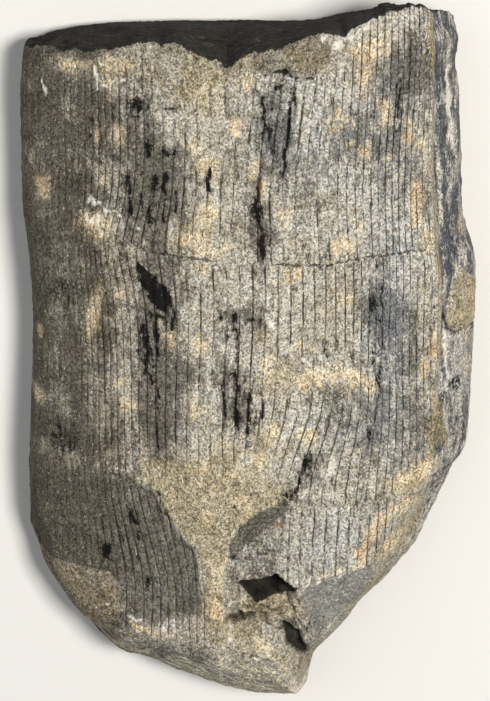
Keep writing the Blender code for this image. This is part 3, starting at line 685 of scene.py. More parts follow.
STAINS = (
    (-20, 38, 6, 15, 0.62), (-18, 10, 5, 17, 0.62), (-18, -12, 5, 12, 0.6), (3, 50, 4, 9, 0.3),
    (2, 28, 2.5, 9, 0.25), (-2, -8, 5, 9, 0.3), (-2, 8, 5, 5, 0.25), (28, 6, 4, 20, 0.45),
    (34, -6, 4, 16, 0.35), (30, 56, 6, 12, 0.4), (22, -10, 7, 4, 0.4), (13, -22, 3, 7, 0.35, -20),
    (30, -17, 8, 6, 0.4), (35, 36, 3, 20, 0.15), (17, 4, 4, 3, 0.25), (18, -6.5, 7, 2.5, 0.35),
    (15, 12, 8, 7, -0.35), (-8, -66, 14, 4, 0.25, -20), (4, -50, 6, 3, 0.12, 20), (-39, 34, 6, 30, 0.15),
    (-33, 20, 6, 6, 0.2), (30, -45, 8, 4, -0.2, 40), (16, -36, 10, 9, -0.12), (16, 40, 6, 12, 0.08),
    (41, 40, 2.5, 22, 0.4), (24, 46, 13, 15, 0.22), (43, -4, 4, 10, -0.4), (40.5, 23, 2, 6, 0.5),
    (41, -8, 3, 12, 0.1), (-38, -17, 4, 5, 0.6), (-18.4, -10, 3.4, 11, 0.35), (-16.3, -21.5, 1.8, 3, 0.7),
    (-36.8, 16, 3, 5, 0.5), (-37, 3, 2.5, 6, 0.4), (-37.5, 38, 3, 9, 0.5), (-14, -66, 14, 3.5, 0.4, -22),
    (-30, -60, 6, 2.5, 0.2, -40), (6, 46, 5, 9, 0.3), (12, 40, 6, 5, 0.25), (13.5, 33, 2.4, 2, 0.3),
    (33, 60, 5, 7, 0.25), (22, 48, 3, 3, 0.3), (25, 12, 5, 5, 0.5), (12, 6.5, 4, 2.5, 0.4),
    (-12, 0, 3, 6, 0.3), (-13, 36, 3, 7, 0.3),
)
BLUES = (
    (28, 4, 6, 26, 0.8), (18, -37, 13, 9, 0.8, 20), (24, 48, 16, 22, 0.5), (30, 24, 8, 14, 0.5),
    (18, -50, 7, 6, 0.6), (20, -14, 9, 6, 0.5), (6, 46, 7, 16, 0.4),
)
# Painted shadows: dark lines along cracks and the upper joint, and under the edges of the flake and the block.
CRACK_SHADOWS = (
    (0.8, 0.3, [(0.4, 59.7), (4.4, 59.1), (5.5, 59.4)]), (0.8, 0.35, [(8, 59.2), (9.5, 58.4), (12.5, 58.7)]),
    (0.8, 0.3, [(-17.6, 52.5), (-15.5, 51.9), (-12.4, 52.8)]),
    (0.44, 0.45, [(-29.3, 27.6), (-27.8, 27), (-21.9, 24.7), (-17.4, 23.2), (-13.5, 22.6), (-6, 21.6)]),
    (0.7, 0.45, [(39, 9.6), (40.1, 6.2), (42.1, 4.7), (44.4, 4.9), (47, 5.6)]),
    *[(0.65, 0.3, crevice) for crevice in CREVICES],
)
print("marks:", len(COAL), "of coal,", len(TAN), "of silt,", len(WHITE_SCRATCHES_AND_HIGHLIGHTS), "white,", len(RUST), "of rust")


# %% Their values at each point
def marked(x, y, marks, spread=1.0):
    """How near the marks are: half on a mark's border, most in its middle, and 0 well outside."""
    x, y = x + 0.55 * waves(x, y / 2, 2.6, 90), y + 1.1 * waves(x, y / 2, 2.2, 91)
    value = np.zeros(np.shape(x))
    for mark in marks:
        if isinstance(mark[1], tuple):
            off = from_path(x, y, mark[1:]) / mark[0]
        else:
            off = oval(x, y, mark[:2], mark[2:4], *mark[4:])
        value = np.maximum(value, 0.85 * np.exp(-0.53 * (off / spread) ** 2))
    return value


def coal(x, y):
    """The pieces of coal, and where small scraps of it hang on in the grooves."""
    leaf = 0.95 * ramp(-0.5, 0.5, within(x, y, COAL_LEAF) + 0.4 * waves(x, y, 2.2, 94))
    return np.maximum.reduce([marked(x, y, COAL), leaf, *humps(x, y, COALY, 1.2)])


def ochre(x, y):
    """The ochre fibres along the right ridge, and the leaf of ochre stone below the block."""
    fibres = 0.75 * bell(x - strip_edge(y) + 0.3, 0.8) * ramp(-24, -18, y) * (0.7 + 0.5 * waves(x, y, 12, 92))
    return np.maximum(fibres, 1.1 * ramp(-0.2, 0.2, within(x, y, OCHRE_FLAKE)))


def broad_tan(x, y):
    """Where the plain tan silt shows over a wide area."""
    return np.maximum.reduce([
        0.9 * wedge(x, y), 0.5 * ramp(-58, -66, y), *humps(x, y, BROAD_TAN, 1.3),
        0.8 * ramp(-0.2, 0.4, within(x, y, BLOCK)), 0.5 * ramp(-0.4, 0.6, within(x, y, LEFT_CHIP)),
    ])


def brown_and_shade(x, y):
    """Where the stone is painted dark brown: broken silt, with painted shade on the block's left facet and the
    left flank.
    """
    tip = 0.35 * hump(x, y, (3, -51.5), (8, 4.5), 10)
    chip = 0.85 * ramp(-0.6, 0.8, within(x, y, LEFT_CHIP) + 0.5 * waves(x, y, 4, 6))
    # The left half of the block is painted browner, as painted shade on its left facet.
    block = 0.35 * ramp(0, 0.8, within(x, y, BLOCK)) * ramp(0.3, -0.9, x - 43.6 - 0.25 * (y - 12))
    # The left flank is painted browner: partly its own colour, partly painted shade for the side turned from
    # the light.
    darker_left_flank = 0.7 * ramp(-14, -32, x) * (1 - ramp(-0.6, 0.8, within(x, y, LEFT_CHIP)))
    flake = 0.8 * ramp(-0.2, 0.5, within(x, y, FLAKE))
    return chip + block + darker_left_flank + tip + flake + 0.5 * ramp(0, 1, within(x, y, TOP_SCAR))


def lines(x, y):
    """How much of the groove's coal is left as a black line, from 0 to 1."""
    return np.clip(sum(humps(x, y, LINES, 1.2), 0.44 - 0.12 * ramp(-28, -40, x)), 0, 1)


def painted_shade(x, y):
    """Painted shade: black in the pits, the hollow under the ledge, the cracks and under edges that cast
    shadow.
    """
    return np.maximum.reduce([
        ramp(-0.9, -0.2, within(x, y, HOLLOW)) * ramp(-0.1, 0.4, -above(ledge, x, y)),
        0.95 * ramp(-0.3, 1.3, within(x, y, PIT) + 0.3 * waves(x, y, 3, 31)),
        0.62 * ramp(-0.4, 0.8, within(x, y, SMALL_PIT) + 0.2 * waves(x, y, 2.5, 32)),
        1 - ramp(0.5, 1.2, oval(x, y, (6.5, 59.6), (1.9, 0.7))),
        0.96 * hump(x, y, (-2.9, -40.3), (0.8, 0.8)),
        0.5 * bell(x - strip_edge(y) - 0.5, 0.35) * ramp(0, 0.6, waves(x, y, 18, 42)),
        *[darkness * bell(from_path(x, y, path), width) for darkness, width, path in CRACK_SHADOWS],
    ])


def film_and_shade(x, y):
    """How thick the grey film is over a wide area, 0 on clean silt to 1 almost black; on the left flank also
    painted shade.
    """
    # On the left flank the film is coal film and also painted shade, for the side that turns from the light.
    left = (0.78 + 0.4 * waves(x, y / 2, 6, 85)) * ramp(-18, -36, x)
    border = -0.5 - 3 * ramp(-19, -25, x)
    panel = ramp(border, 1 - border, -above(left_panel_edge, x, y)) * (1 - ramp(-6, -3, x))
    panel *= 1.3 - 0.4 * ramp(-42, -52, y)
    panel *= 1 - ramp(-52.5, -56.5, y + 1.5 * waves(x, y, 6, 86) - 0.3 * (x + 14))
    wide = sum(humps(x, y, STAINS, 1.25), 0.12 + 0.10 * waves(x, y, 22, 80))
    wide = np.maximum(wide, np.maximum(left, panel))
    wide *= 1 - 0.9 * ramp(-0.2, 0.4, within(x, y, BLOCK))
    wide *= (1 - 0.85 * wedge(x, y)) * (1 - 0.85 * ramp(-0.5, 0.5, within(x, y, LEFT_CHIP)))
    wide = np.maximum(wide, 0.5 * ramp(-0.4, 0.6, within(x, y, PLAIN_FOLD)))
    wide = np.maximum(wide, 0.85 * ramp(-0.4, 0.4, within(x, y, FOLD)))
    return np.clip(wide * (1 - 0.5 * ramp(-0.5, 0.5, within(x, y, TOP_SCAR))), 0, 1)


def blue_tint(x, y):
    """Where the film has a cool, bluish sheen."""
    cool = sum(humps(x, y, BLUES), ramp(-0.2, 0.5, x - strip_edge(y)))
    cool += 0.3 * ramp(-40, -50, y) * hump(x, y, (-6, -66), (16, 5))
    return np.clip(cool * (1 - ramp(-0.2, 0.4, within(x, y, BLOCK))), 0, 1)


def flank(x, y):
    """The right flank, where the film is patchy, apart from the block and the clean stone below it."""
    strip = ramp(-0.3, 0.5, x - strip_edge(y)) * (1 - ramp(-0.2, 0.3, within(x, y, BLOCK)))
    return strip * (1 - 0.75 * hump(x, y, (43, -4), (5, 11)))


def worn_slope(x, y):
    """The slope at the tip, which rolling along a stream has worn."""
    return ramp(0, -5, y + 61 + 3 * waves(x, y, 9, 93) - 0.35 * np.minimum(x + 10, 0)) * (1 - ramp(6, 12, x))


on_front = {
    "coal": coal(x, y), "tan": marked(x, y, TAN), "white": marked(x, y, WHITE_SCRATCHES_AND_HIGHLIGHTS), "rust": marked(x, y, RUST),
    "film_and_shade": film_and_shade(x, y) + 0.5 * marked(x, y, COAL, 2.2), "blue": blue_tint(x, y), "bare": rib_free(x, y),
    "lines": lines(x, y), "painted_shade": painted_shade(x, y), "broad_tan": broad_tan(x, y), "brown_and_shade": brown_and_shade(x, y),
    "facet": ramp(-0.2, 0.2, within(x, y, CHIP)), "strip": flank(x, y), "ochre": ochre(x, y),
    "slope": worn_slope(x, y),
}
print("stain over the front, on average:", round(float(on_front["film_and_shade"].mean()), 2))

# %% [markdown]
# The rings of the side and the back have no ribs and little coal. They carry broken silt: tan and grey by
# turns. The face of the upper end is the exception: it is painted nearly black, as painted shade on a face
# that turns from the light. What lies on the front fades out down the side, over a border that swells to and
# fro.

# %% Values on the side and the back
side_x, side_y, side_z = np.concatenate(rings).T
# The face of the upper end, where the colour is painted shade.
end_shade_on_side = ramp(56, 60, side_y) * ramp(-46, -44, side_x) * (1 - ramp(39, 41.5, side_x))
side_row = np.repeat(np.arange(1, SIDE_ROWS + 1), len(rim))
faded = 1 - ramp(0.5, 6, side_row + 2 * waves(side_x, side_y, 5, 97))
on_side = {name: np.tile(value[rim], SIDE_ROWS) * faded for name, value in on_front.items()}
on_side["broad_tan"] += (1 - faded) * (0.45 + 0.3 * waves(side_x + side_z, side_y, 14, 81))
on_side["film_and_shade"] += (1 - faded) * (0.3 + 0.15 * waves(side_x, side_y + side_z, 11, 82))
on_side |= {"facet": 0 * side_x, "lines": 0 * side_x, "painted_shade": 0 * side_x, "bare": 1 + 0 * side_x}
on_back = {name: 0 * back_x for name in on_front}
on_back |= {
    "bare": 1 + 0 * back_x, "broad_tan": 0.45 + 0.3 * waves(back_x, back_y, 25, 83),
    "film_and_shade": np.clip(0.3 + 0.25 * waves(back_x, back_y, 18, 84), 0, 1),
}
values = {
    name: np.clip(np.concatenate([on_front[name], on_side[name], on_back[name]]), 0, 1) for name in on_front
}
print("values that meet at the rim:", ", ".join(values))

# %% Values of the ribs and of the upper end
beyond = np.zeros(len(points) - len(front))
off_upper_joint, off_lower_joint = y - upper_joint(x), y - lower_joint(x)
off_joint = np.minimum(np.abs(off_upper_joint), np.abs(off_lower_joint))
shows_on_right = ramp(2, 7, x) * (1 - ramp(33, 38, x))
shows_on_left = 0.75 * ramp(-26, -20, x) * (1 - ramp(-9, -2, x))
# The painted shade of the upper end reaches half strength over the front's last 0.7 mm.
end_shade_on_front = 0.5 * ramp(-0.7, 0, y - broken_end(x))
values |= {
    "end": np.concatenate([end_shade_on_front, end_shade_on_side, 0 * back_x]),
    "rib_phase": np.concatenate([rib + 0.5 * (np.minimum(fall.astype(int), 2) == 1), beyond]),
    "rib_strength": np.concatenate([rib_strength * ramp(0, 0.7, off_joint), beyond]),
    "off_upper_joint": np.concatenate([off_upper_joint, beyond + 50]),
    "joint_shows": np.concatenate([shows_on_right + shows_on_left, beyond]),
}
print("values per point:", len(values))

# %% The mesh with its values
mesh = bpy.data.meshes.new("horsetail_stone")
mesh.from_pydata(((points - (*MIDDLE, 0)) * MM).tolist(), [], faces)
for name, value in values.items():
    mesh.attributes.new(name, "FLOAT", "POINT").data.foreach_set("value", np.asarray(value, np.float32))
stone = bpy.data.objects.new("horsetail_stone", mesh)
bpy.context.scene.collection.objects.link(stone)
mesh.validate()
print("mesh:", len(mesh.vertices), "points,", len(mesh.polygons), "faces")

# %% [markdown]
# A second set of coordinates goes with the ribs: u counts ribs, and v is the length along the stem in
# centimetres. The pattern of black lines in the grooves is drawn on it. Each stretch between two joints has
# its own count, half a rib apart from its neighbour's, so the value is kept per corner of a face and can jump
# there.

# %% Coordinates along the ribs
corner_point = np.empty(len(mesh.loops), np.int32)
mesh.loops.foreach_get("vertex_index", corner_point)
corner_face = np.repeat(np.arange(len(mesh.polygons)), [len(face) for face in faces])
face_fall = np.concatenate([
    np.repeat((falls[:-1] + falls[1:]) / 2, len(columns) - 1), np.full(len(faces) - len(quads[0]), 0.5),
])
rib_all = np.concatenate([rib, np.tile(rib[rim], SIDE_ROWS), np.zeros(len(back))])
length_all = np.concatenate([y, side_y, back_y]) / 10
stem_uv = np.stack([
    rib_all[corner_point] + 0.5 * (face_fall[corner_face].astype(int) == 1), length_all[corner_point],
], axis=1)
mesh.uv_layers.new(name="stem").data.foreach_set("uv", stem_uv.astype(np.float32).ravel())
print("u runs from", round(float(stem_uv[:, 0].min()), 1), "to", round(float(stem_uv[:, 0].max()), 1))

# %% [markdown]
# ## The ribs
#
# On the cast a rib is a low rounded ridge, and the groove beside it is narrow, because only a thin plate of
# wood stood there. A rule like that suits Geometry Nodes: each point knows its place across its rib, and the
# tree moves it in or out by a profile. The same tree roughens the surface with the grain of the silt, more on
# bare stone than on the ribbed skin.


# %% Colours and a helper that adds one node
def linear(code):
    """An sRGB hex colour as linear red, green, blue and alpha."""
    parts = [int(code[i:i + 2], 16) / 255 for i in (1, 3, 5)]
    return (*[v / 12.92 if v <= 0.04045 else ((v + 0.055) / 1.055) ** 2.4 for v in parts], 1.0)


def add(tree, kind, *values, out=None, **settings):
    """Adds a node with its settings. values go to its inputs in order, and None leaves an input as it is.

    A value is a number, a hex colour or another node's output. The node's first output comes back, or the one
    named by out, or the node itself where it has none.
    """
    node = tree.nodes.new(kind)
    for name, setting in settings.items():
        setattr(node, name, setting)
    for socket, value in zip([socket for socket in node.inputs if socket.enabled], values):
        if isinstance(value, bpy.types.NodeSocket):
            tree.links.new(value, socket)
        elif isinstance(value, str) and value.startswith("#"):
            socket.default_value = linear(value)
        elif value is not None:
            socket.default_value = value
    shown = [socket for socket in node.outputs if socket.enabled]
    return node.outputs[out] if out else shown[0] if shown else node


print("a mid grey is", round(linear("#808080")[0], 3), "in linear light")

# %% The tree and its inputs
RIB_INPUTS = {
    "Groove Depth": 0.26 * MM, "Groove Width": 0.15, "Crest Height": 0.12 * MM, "Grain Height": 0.5 * MM,
}
WEAR_PER_METRE, GRAINS_PER_METRE = 350.0, 900.0
ribs_tree = bpy.data.node_groups.new("Ribs and grain", "GeometryNodeTree")
ribs_tree.interface.new_socket("Geometry", in_out="INPUT", socket_type="NodeSocketGeometry")
for name, value in RIB_INPUTS.items():
    ribs_tree.interface.new_socket(name, in_out="INPUT", socket_type="NodeSocketFloat").default_value = value
ribs_tree.interface.new_socket("Stone", in_out="INPUT", socket_type="NodeSocketMaterial")
ribs_tree.interface.new_socket("Geometry", in_out="OUTPUT", socket_type="NodeSocketGeometry")
given = ribs_tree.nodes.new("NodeGroupInput").outputs
grow = partial(add, ribs_tree)
rib_phase, rib_strength_here, bare = [
    grow("GeometryNodeInputNamedAttribute", name, data_type="FLOAT")
    for name in ("rib_phase", "rib_strength", "bare")
]
spot = grow("GeometryNodeInputPosition")
print("tree inputs:", ", ".join(RIB_INPUTS))

# %% The profile of a rib
place_across = grow("ShaderNodeMath", rib_phase, 0.5, operation="ADD")
place_across = grow("ShaderNodeMath", place_across, operation="FRACT")
off_groove = grow("ShaderNodeMath", place_across, 0.5, operation="SUBTRACT")
off_groove = grow("ShaderNodeMath", off_groove, operation="ABSOLUTE")
groove = grow(
    "ShaderNodeMapRange", off_groove, 0.0, given["Groove Width"], 1.0, 0.0, interpolation_type="SMOOTHSTEP",
)
crest = grow("ShaderNodeMath", grow("ShaderNodeMath", off_groove, pi, operation="MULTIPLY"), operation="SINE")
crest = grow("ShaderNodeMath", crest, given["Crest Height"], operation="MULTIPLY")
long_way = grow("ShaderNodeVectorMath", spot, (1, 0.3, 1), operation="MULTIPLY")
worn = grow("ShaderNodeTexNoise", long_way, WEAR_PER_METRE, 2.0)
worn = grow("ShaderNodeMapRange", worn, 0.35, 0.65, 0.2, 1.2)
groove = grow("ShaderNodeMath", groove, worn, operation="MULTIPLY")
groove = grow("ShaderNodeMath", groove, given["Groove Depth"], operation="MULTIPLY")
rib_shape = grow("ShaderNodeMath", crest, groove, operation="SUBTRACT")
rib_shape = grow("ShaderNodeMath", rib_shape, rib_strength_here, operation="MULTIPLY")
print("a groove is worn to between 0.2 and 1.2 of its depth")

# %% The grain, and moving the points
ON_GROUND = 0.6 * MM
roughness = grow("ShaderNodeMath", bare, 1.1, 0.45, operation="MULTIPLY_ADD")
grain = grow("ShaderNodeTexNoise", spot, GRAINS_PER_METRE, 3.0, 0.65)
grain = grow("ShaderNodeMath", grain, 0.5, operation="SUBTRACT")
grain = grow("ShaderNodeMath", grain, roughness, operation="MULTIPLY")
grain = grow("ShaderNodeMath", grain, given["Grain Height"], operation="MULTIPLY")
lift = grow("ShaderNodeMath", rib_shape, grain, operation="ADD")
offset = grow("ShaderNodeVectorMath", grow("GeometryNodeInputNormal"), lift, operation="SCALE")
spot_height = grow("ShaderNodeSeparateXYZ", spot, out="Z")
off_ground = grow("FunctionNodeCompare", spot_height, ON_GROUND, data_type="FLOAT", operation="GREATER_THAN")
moved = grow("GeometryNodeSetPosition", given["Geometry"], off_ground, None, offset)
smooth = grow("GeometryNodeSetShadeSmooth", moved)
realized = grow("GeometryNodeRealizeInstances", smooth)
grow("NodeGroupOutput", grow("GeometryNodeSetMaterial", realized, None, given["Stone"]))
print("ribs tree:", len(ribs_tree.nodes), "nodes")

# %% [markdown]
# ## Siltstone with a coal film
#
# The stone is hardened silt: grains of quartz and clay far finer than a millimetre, dull, with no gloss of
# its own. Fresh breaks are tan, and the skin of the cast is grey from traces of coal. Where the film is whole
# it is bituminous coal, nearly black, with a faint shine. In the picture the surface looks peppered with
# light and dark dots. They are grains and the gaps between them, too fine to show, so they are drawn coarser,
# at 0.26 by 0.34 mm.

# %% The colours of silt, film and coal
SILT_GREY, SILT_OLIVE, SILT_TAN, SILT_BROWN, SILT_BLUE = "#B3AEA1", "#A39C8C", "#A99C80", "#62563F", "#ABADAD"
BLOTCH_TAN, BLOTCH_PINK, COOL_TINT, WARM_TINT = "#CBBEA1", "#C8B18F", "#F7FBFF", "#FFFCF6"
FILM_GREY, FILM_DARK, FILM_BLUE = "#4D493F", "#2F2D29", "#50545C"
COAL_BLACK, LINE_BLACK, DARK_GAP, GLINT_WHITE = "#0E0D0C", "#1F1C19", "#2A2826", "#F2EEE2"
FLANK_BLUE, FLANK_GREY, FLANK_WHITE = "#494B52", "#C9C3B5", "#D5D1C6"
FIBRE_BROWN, FIBRE_OCHRE, SLOPE_GREY, SLOPE_TAN = "#58503E", "#AC9C7A", "#7F817B", "#D6CBB0"
FACET_DARK, FACET_PALE = "#6C6B67", "#9A988F"
# The joint black is painted shadow in the crack along the upper joint.
# The pit black is painted shade in pits, hollows and cracks.
# The scratch white also paints highlights on the upper rim and at the tip.
RUST_OCHRE, SCRATCH_AND_HIGHLIGHT_WHITE, PIT_SHADE_BLACK, JOINT_SHADOW_BLACK = "#94764C", "#EAE4D5", "#171513", "#211E1B"
# The end colours are painted shade: the face of the upper end is painted nearly black.
END_SHADE_BLACK, END_SHADE_GREY, END_SCRAPS = "#121212", "#363430", "#7C776B"
print("silt from", SILT_TAN, "to", SILT_BLUE, "and coal of", COAL_BLACK)

# %% The material, its noises and its values
GRAIN_ACROSS, GRAIN_ALONG = 0.26 * MM, 0.34 * MM
material = bpy.data.materials.new("siltstone with coal film")
material.use_nodes = True
shader = material.node_tree.nodes["Principled BSDF"]
paint = partial(add, material.node_tree)
object_place = paint("ShaderNodeTexCoord", out="Object")
on_stone = {
    name: paint("ShaderNodeAttribute", attribute_name=name, attribute_type="GEOMETRY", out="Fac")
    for name in values
}


def pattern(size, detail=4.0, roughness=0.6, stretch=(1, 1, 1), turn=0.0, seed=0.0):
    """A noise with features about size millimetres across, stretched and turned in the plane of the face."""
    scale = tuple(size * s * MM for s in stretch)
    start = (seed * MM * size,) * 3
    at = paint("ShaderNodeMapping", object_place, start, (0, 0, radians(turn)), scale, vector_type="TEXTURE")
    return paint("ShaderNodeTexNoise", at, 1.0, detail, roughness)


grain_size = (1 / GRAIN_ACROSS, 1 / GRAIN_ALONG, 1 / GRAIN_ACROSS)
grain_place = paint("ShaderNodeMapping", object_place, None, None, grain_size)
grain_cells = paint("ShaderNodeTexVoronoi", grain_place, 1.0, out="Color")
fine, glint = [paint("ShaderNodeSeparateXYZ", grain_cells, out=axis) for axis in ("X", "Y")]
grains = pattern(0.62, detail=3.0, roughness=0.75, seed=3.0)
clots = pattern(1.8, detail=5.0, roughness=0.75, seed=7.0)
clouds = pattern(8.0, detail=5.0, seed=11.0)
streaks = pattern(0.9, detail=5.0, roughness=0.72, stretch=(1, 5, 1), seed=17.0)
scratches = pattern(0.55, detail=3.0, roughness=0.7, stretch=(1, 7, 1), turn=-35, seed=23.0)
print("values:", len(on_stone), "and noises at 0.6, 1.8 and 8 mm")


# %% Marks with frayed borders, and the silt
def frayed(value, reach, start, end, amount=1.0):
    """A mark whose border is frayed by noises, each with its reach, and whose strength runs up to amount."""
    for noise, far in reach:
        value = paint("ShaderNodeMath", noise, far, value, operation="MULTIPLY_ADD")
        value = paint("ShaderNodeMath", value, far / 2, operation="SUBTRACT")
    return paint("ShaderNodeMapRange", value, start, end, 0.0, amount, interpolation_type="SMOOTHSTEP")


def toned(noise, start, end, low, high):
    """A colour that runs from low to high as a noise runs from start to end."""
    return paint("ShaderNodeMix", paint("ShaderNodeMapRange", noise, start, end), low, high, data_type="RGBA")


cloudy = paint("ShaderNodeMapRange", clouds, 0.38, 0.62)
silt = paint("ShaderNodeMix", cloudy, SILT_GREY, SILT_OLIVE, data_type="RGBA")
blotch = frayed(on_stone["tan"], [(grains, 0.9), (clots, 1.3)], 0.22, 0.76, 0.84)
for part, colour in (
    (frayed(on_stone["broad_tan"], [(clots, 1.4), (clouds, 1.2)], 0.15, 1.0, 0.9), SILT_TAN),
    (paint("ShaderNodeMath", on_stone["blue"], 0.5, operation="MULTIPLY"), SILT_BLUE),
    (frayed(on_stone["brown_and_shade"], [(clots, 0.8)], 0.1, 0.9, 0.6), SILT_BROWN),
    (paint("ShaderNodeMapRange", clots, 0.50, 0.66, 0.0, 0.46), SILT_BROWN),
    (blotch, paint("ShaderNodeMix", cloudy, BLOTCH_TAN, BLOTCH_PINK, data_type="RGBA")),
):
    silt = paint("ShaderNodeMix", part, silt, colour, data_type="RGBA")
print("silt of", len(material.node_tree.nodes), "nodes")

# %% [markdown]
# The film of coal is thicker on some ribs than on others, so each rib gets a tone of its own: a noise read at
# its whole number, and only slowly changing along it. Swells and streaks then break the film up.
#
# The film and all that follows are layers, each with its amount and its colour. They are gathered in two
# lists, under the grain and over it, and laid on in their order at the end.

# %% The film
stem = paint("ShaderNodeUVMap", uv_map="stem")
count, along = [paint("ShaderNodeSeparateXYZ", stem, out=axis) for axis in ("X", "Y")]
whole_rib = paint("ShaderNodeMath", count, operation="FLOOR")
whole_rib = paint("ShaderNodeMath", whole_rib, 3.7, operation="MULTIPLY")
slow_along = paint("ShaderNodeMath", along, 0.7, operation="MULTIPLY")
rib_place_in_noise = paint("ShaderNodeCombineXYZ", whole_rib, slow_along, 0.0)
rib_tone = paint("ShaderNodeTexNoise", rib_place_in_noise, 1.0, 3.0, 0.6)
rib_tone = paint("ShaderNodeMix", on_stone["rib_strength"], 0.5, rib_tone, data_type="FLOAT")
breaking_up = [(streaks, 1.9), (clots, 1.0), (clouds, 0.9), (rib_tone, 1.1), (grains, 0.6)]
film = frayed(on_stone["film_and_shade"], breaking_up, 0.12, 0.76, 0.86)
unblotched = paint("ShaderNodeMath", blotch, -0.8, 1.0, operation="MULTIPLY_ADD")
film = paint("ShaderNodeMath", film, unblotched, operation="MULTIPLY")
thinned = paint("ShaderNodeMapRange", streaks, 0.42, 0.66, 1.0, 0.65)
film = paint("ShaderNodeMath", film, thinned, operation="MULTIPLY")
film_tone = paint("ShaderNodeMath", streaks, clouds, operation="ADD")
film_colour = toned(film_tone, 0.86, 1.14, FILM_GREY, FILM_DARK)
film_colour = paint("ShaderNodeMix", on_stone["blue"], film_colour, FILM_BLUE, data_type="RGBA")
under_grain = [(film, film_colour)]
print("film of", FILM_GREY, "to", FILM_DARK, "and", FILM_BLUE)

# %% Black lines in the grooves
wander = pattern(2.2, detail=4.0, roughness=0.7, stretch=(1, 2, 1), seed=31.0)
wander = paint("ShaderNodeMapRange", wander, 0.0, 1.0, 0.36, 0.64)
across = paint("ShaderNodeMath", paint("ShaderNodeMath", count, wander, operation="ADD"), operation="FRACT")
off_line = paint("ShaderNodeMath", across, 0.5, operation="SUBTRACT")
off_line = paint("ShaderNodeMath", off_line, operation="ABSOLUTE")
THINNEST, WIDEST = 0.04, 0.13
line_width = paint("ShaderNodeMapRange", streaks, 0.3, 0.7, THINNEST, WIDEST)
core_width = paint("ShaderNodeMath", line_width, 0.45, operation="MULTIPLY")
line = paint(
    "ShaderNodeMapRange", off_line, core_width, line_width, 1.0, 0.0, interpolation_type="SMOOTHSTEP",
)
broken = pattern(1.8, detail=5.0, roughness=0.8, stretch=(0.8, 3, 1), seed=37.0)
kept = frayed(on_stone["lines"], [(broken, 3.2), (grains, 0.8)], 0.22, 0.62, 0.88)
line = paint("ShaderNodeMath", line, kept, operation="MULTIPLY")
line = paint("ShaderNodeMath", line, on_stone["rib_strength"], operation="MULTIPLY", use_clamp=True)
under_grain.append((line, LINE_BLACK))
print("lines up to", round(WIDEST * 2 * RIB_WIDTH, 2), "mm wide")

# %% The film on the right flank, and the ochre fibres beside it
patchy = pattern(3.2, detail=6.0, roughness=0.72, stretch=(0.8, 2.4, 1), seed=47.0)
flank_tone = paint("ShaderNodeMapRange", patchy, 0.44, 0.58)
flank_tone = paint(
    "ShaderNodeMath", on_stone["film_and_shade"], -0.6, flank_tone, operation="MULTIPLY_ADD", use_clamp=True,
)
flank_colour = paint("ShaderNodeMix", flank_tone, FLANK_BLUE, FLANK_GREY, data_type="RGBA")
flank_film = frayed(on_stone["strip"], [(clots, 0.8), (streaks, 0.8)], 0.25, 0.7, 0.9)
flank_film = paint("ShaderNodeMath", flank_film, unblotched, operation="MULTIPLY")
flank_white = paint("ShaderNodeMapRange", streaks, 0.58, 0.66, 0.0, flank_film)
fibres = toned(streaks, 0.4, 0.6, FIBRE_BROWN, FIBRE_OCHRE)
ochre_part = frayed(on_stone["ochre"], [(streaks, 1.6), (grains, 0.5)], 0.35, 0.7, 0.85)
under_grain += [(flank_film, flank_colour), (flank_white, FLANK_WHITE), (ochre_part, fibres)]
print("the right flank runs from", FLANK_BLUE, "to", FLANK_GREY)

# %% Streaks on the worn slope at the tip, and the flat chip
slope_streaks = pattern(0.8, detail=5.0, roughness=0.7, stretch=(7, 1, 1), turn=-24, seed=53.0)
slope_colour = toned(slope_streaks, 0.4, 0.6, SLOPE_GREY, SLOPE_TAN)
on_slope = frayed(on_stone["slope"], [(slope_streaks, 1.2), (clouds, 0.8)], 0.2, 0.9, 0.75)
facet_colour = toned(clots, 0.35, 0.65, FACET_DARK, FACET_PALE)
facet = paint("ShaderNodeMath", on_stone["facet"], 0.9, operation="MULTIPLY")
under_grain += [(on_slope, slope_colour), (facet, facet_colour)]
print("streaks", round(0.8 * 7, 1), "mm long on the slope")

# %% Coal, and what lies over the grain
coal = frayed(on_stone["coal"], [(grains, 1.3), (streaks, 2.0), (clots, 1.2), (fine, 0.4)], 0.44, 0.58, 0.98)
under_grain.append((coal, COAL_BLACK))
sparkle = paint("ShaderNodeMapRange", glint, 0.97, 0.99, 0.0, 0.5)
for cover, loss in ((coal, -0.5), (film, -0.35)):
    sparkle = paint("ShaderNodeMath", cover, loss, sparkle, operation="MULTIPLY_ADD", use_clamp=True)
white_fray = [(scratches, 1.3), (clots, 1.4), (grains, 1.2)]
over_grain = [
    (sparkle, GLINT_WHITE), (frayed(on_stone["bare"], [(grains, 2.6)], 0.95, 1.45, 0.6), DARK_GAP),
    (frayed(on_stone["rust"], [(clots, 1.6), (grains, 0.8)], 0.35, 0.85, 0.45), RUST_OCHRE),
    # White scratches, and painted highlights on the upper rim and at the tip.
    (frayed(on_stone["white"], white_fray, 0.36, 0.95, 0.82), SCRATCH_AND_HIGHLIGHT_WHITE),
    # Painted shade: black in pits, hollows and cracks.
    (frayed(on_stone["painted_shade"], [(grains, 0.5)], 0.15, 0.75, 0.94), PIT_SHADE_BLACK),
]
print("layers over the grain:", len(over_grain))

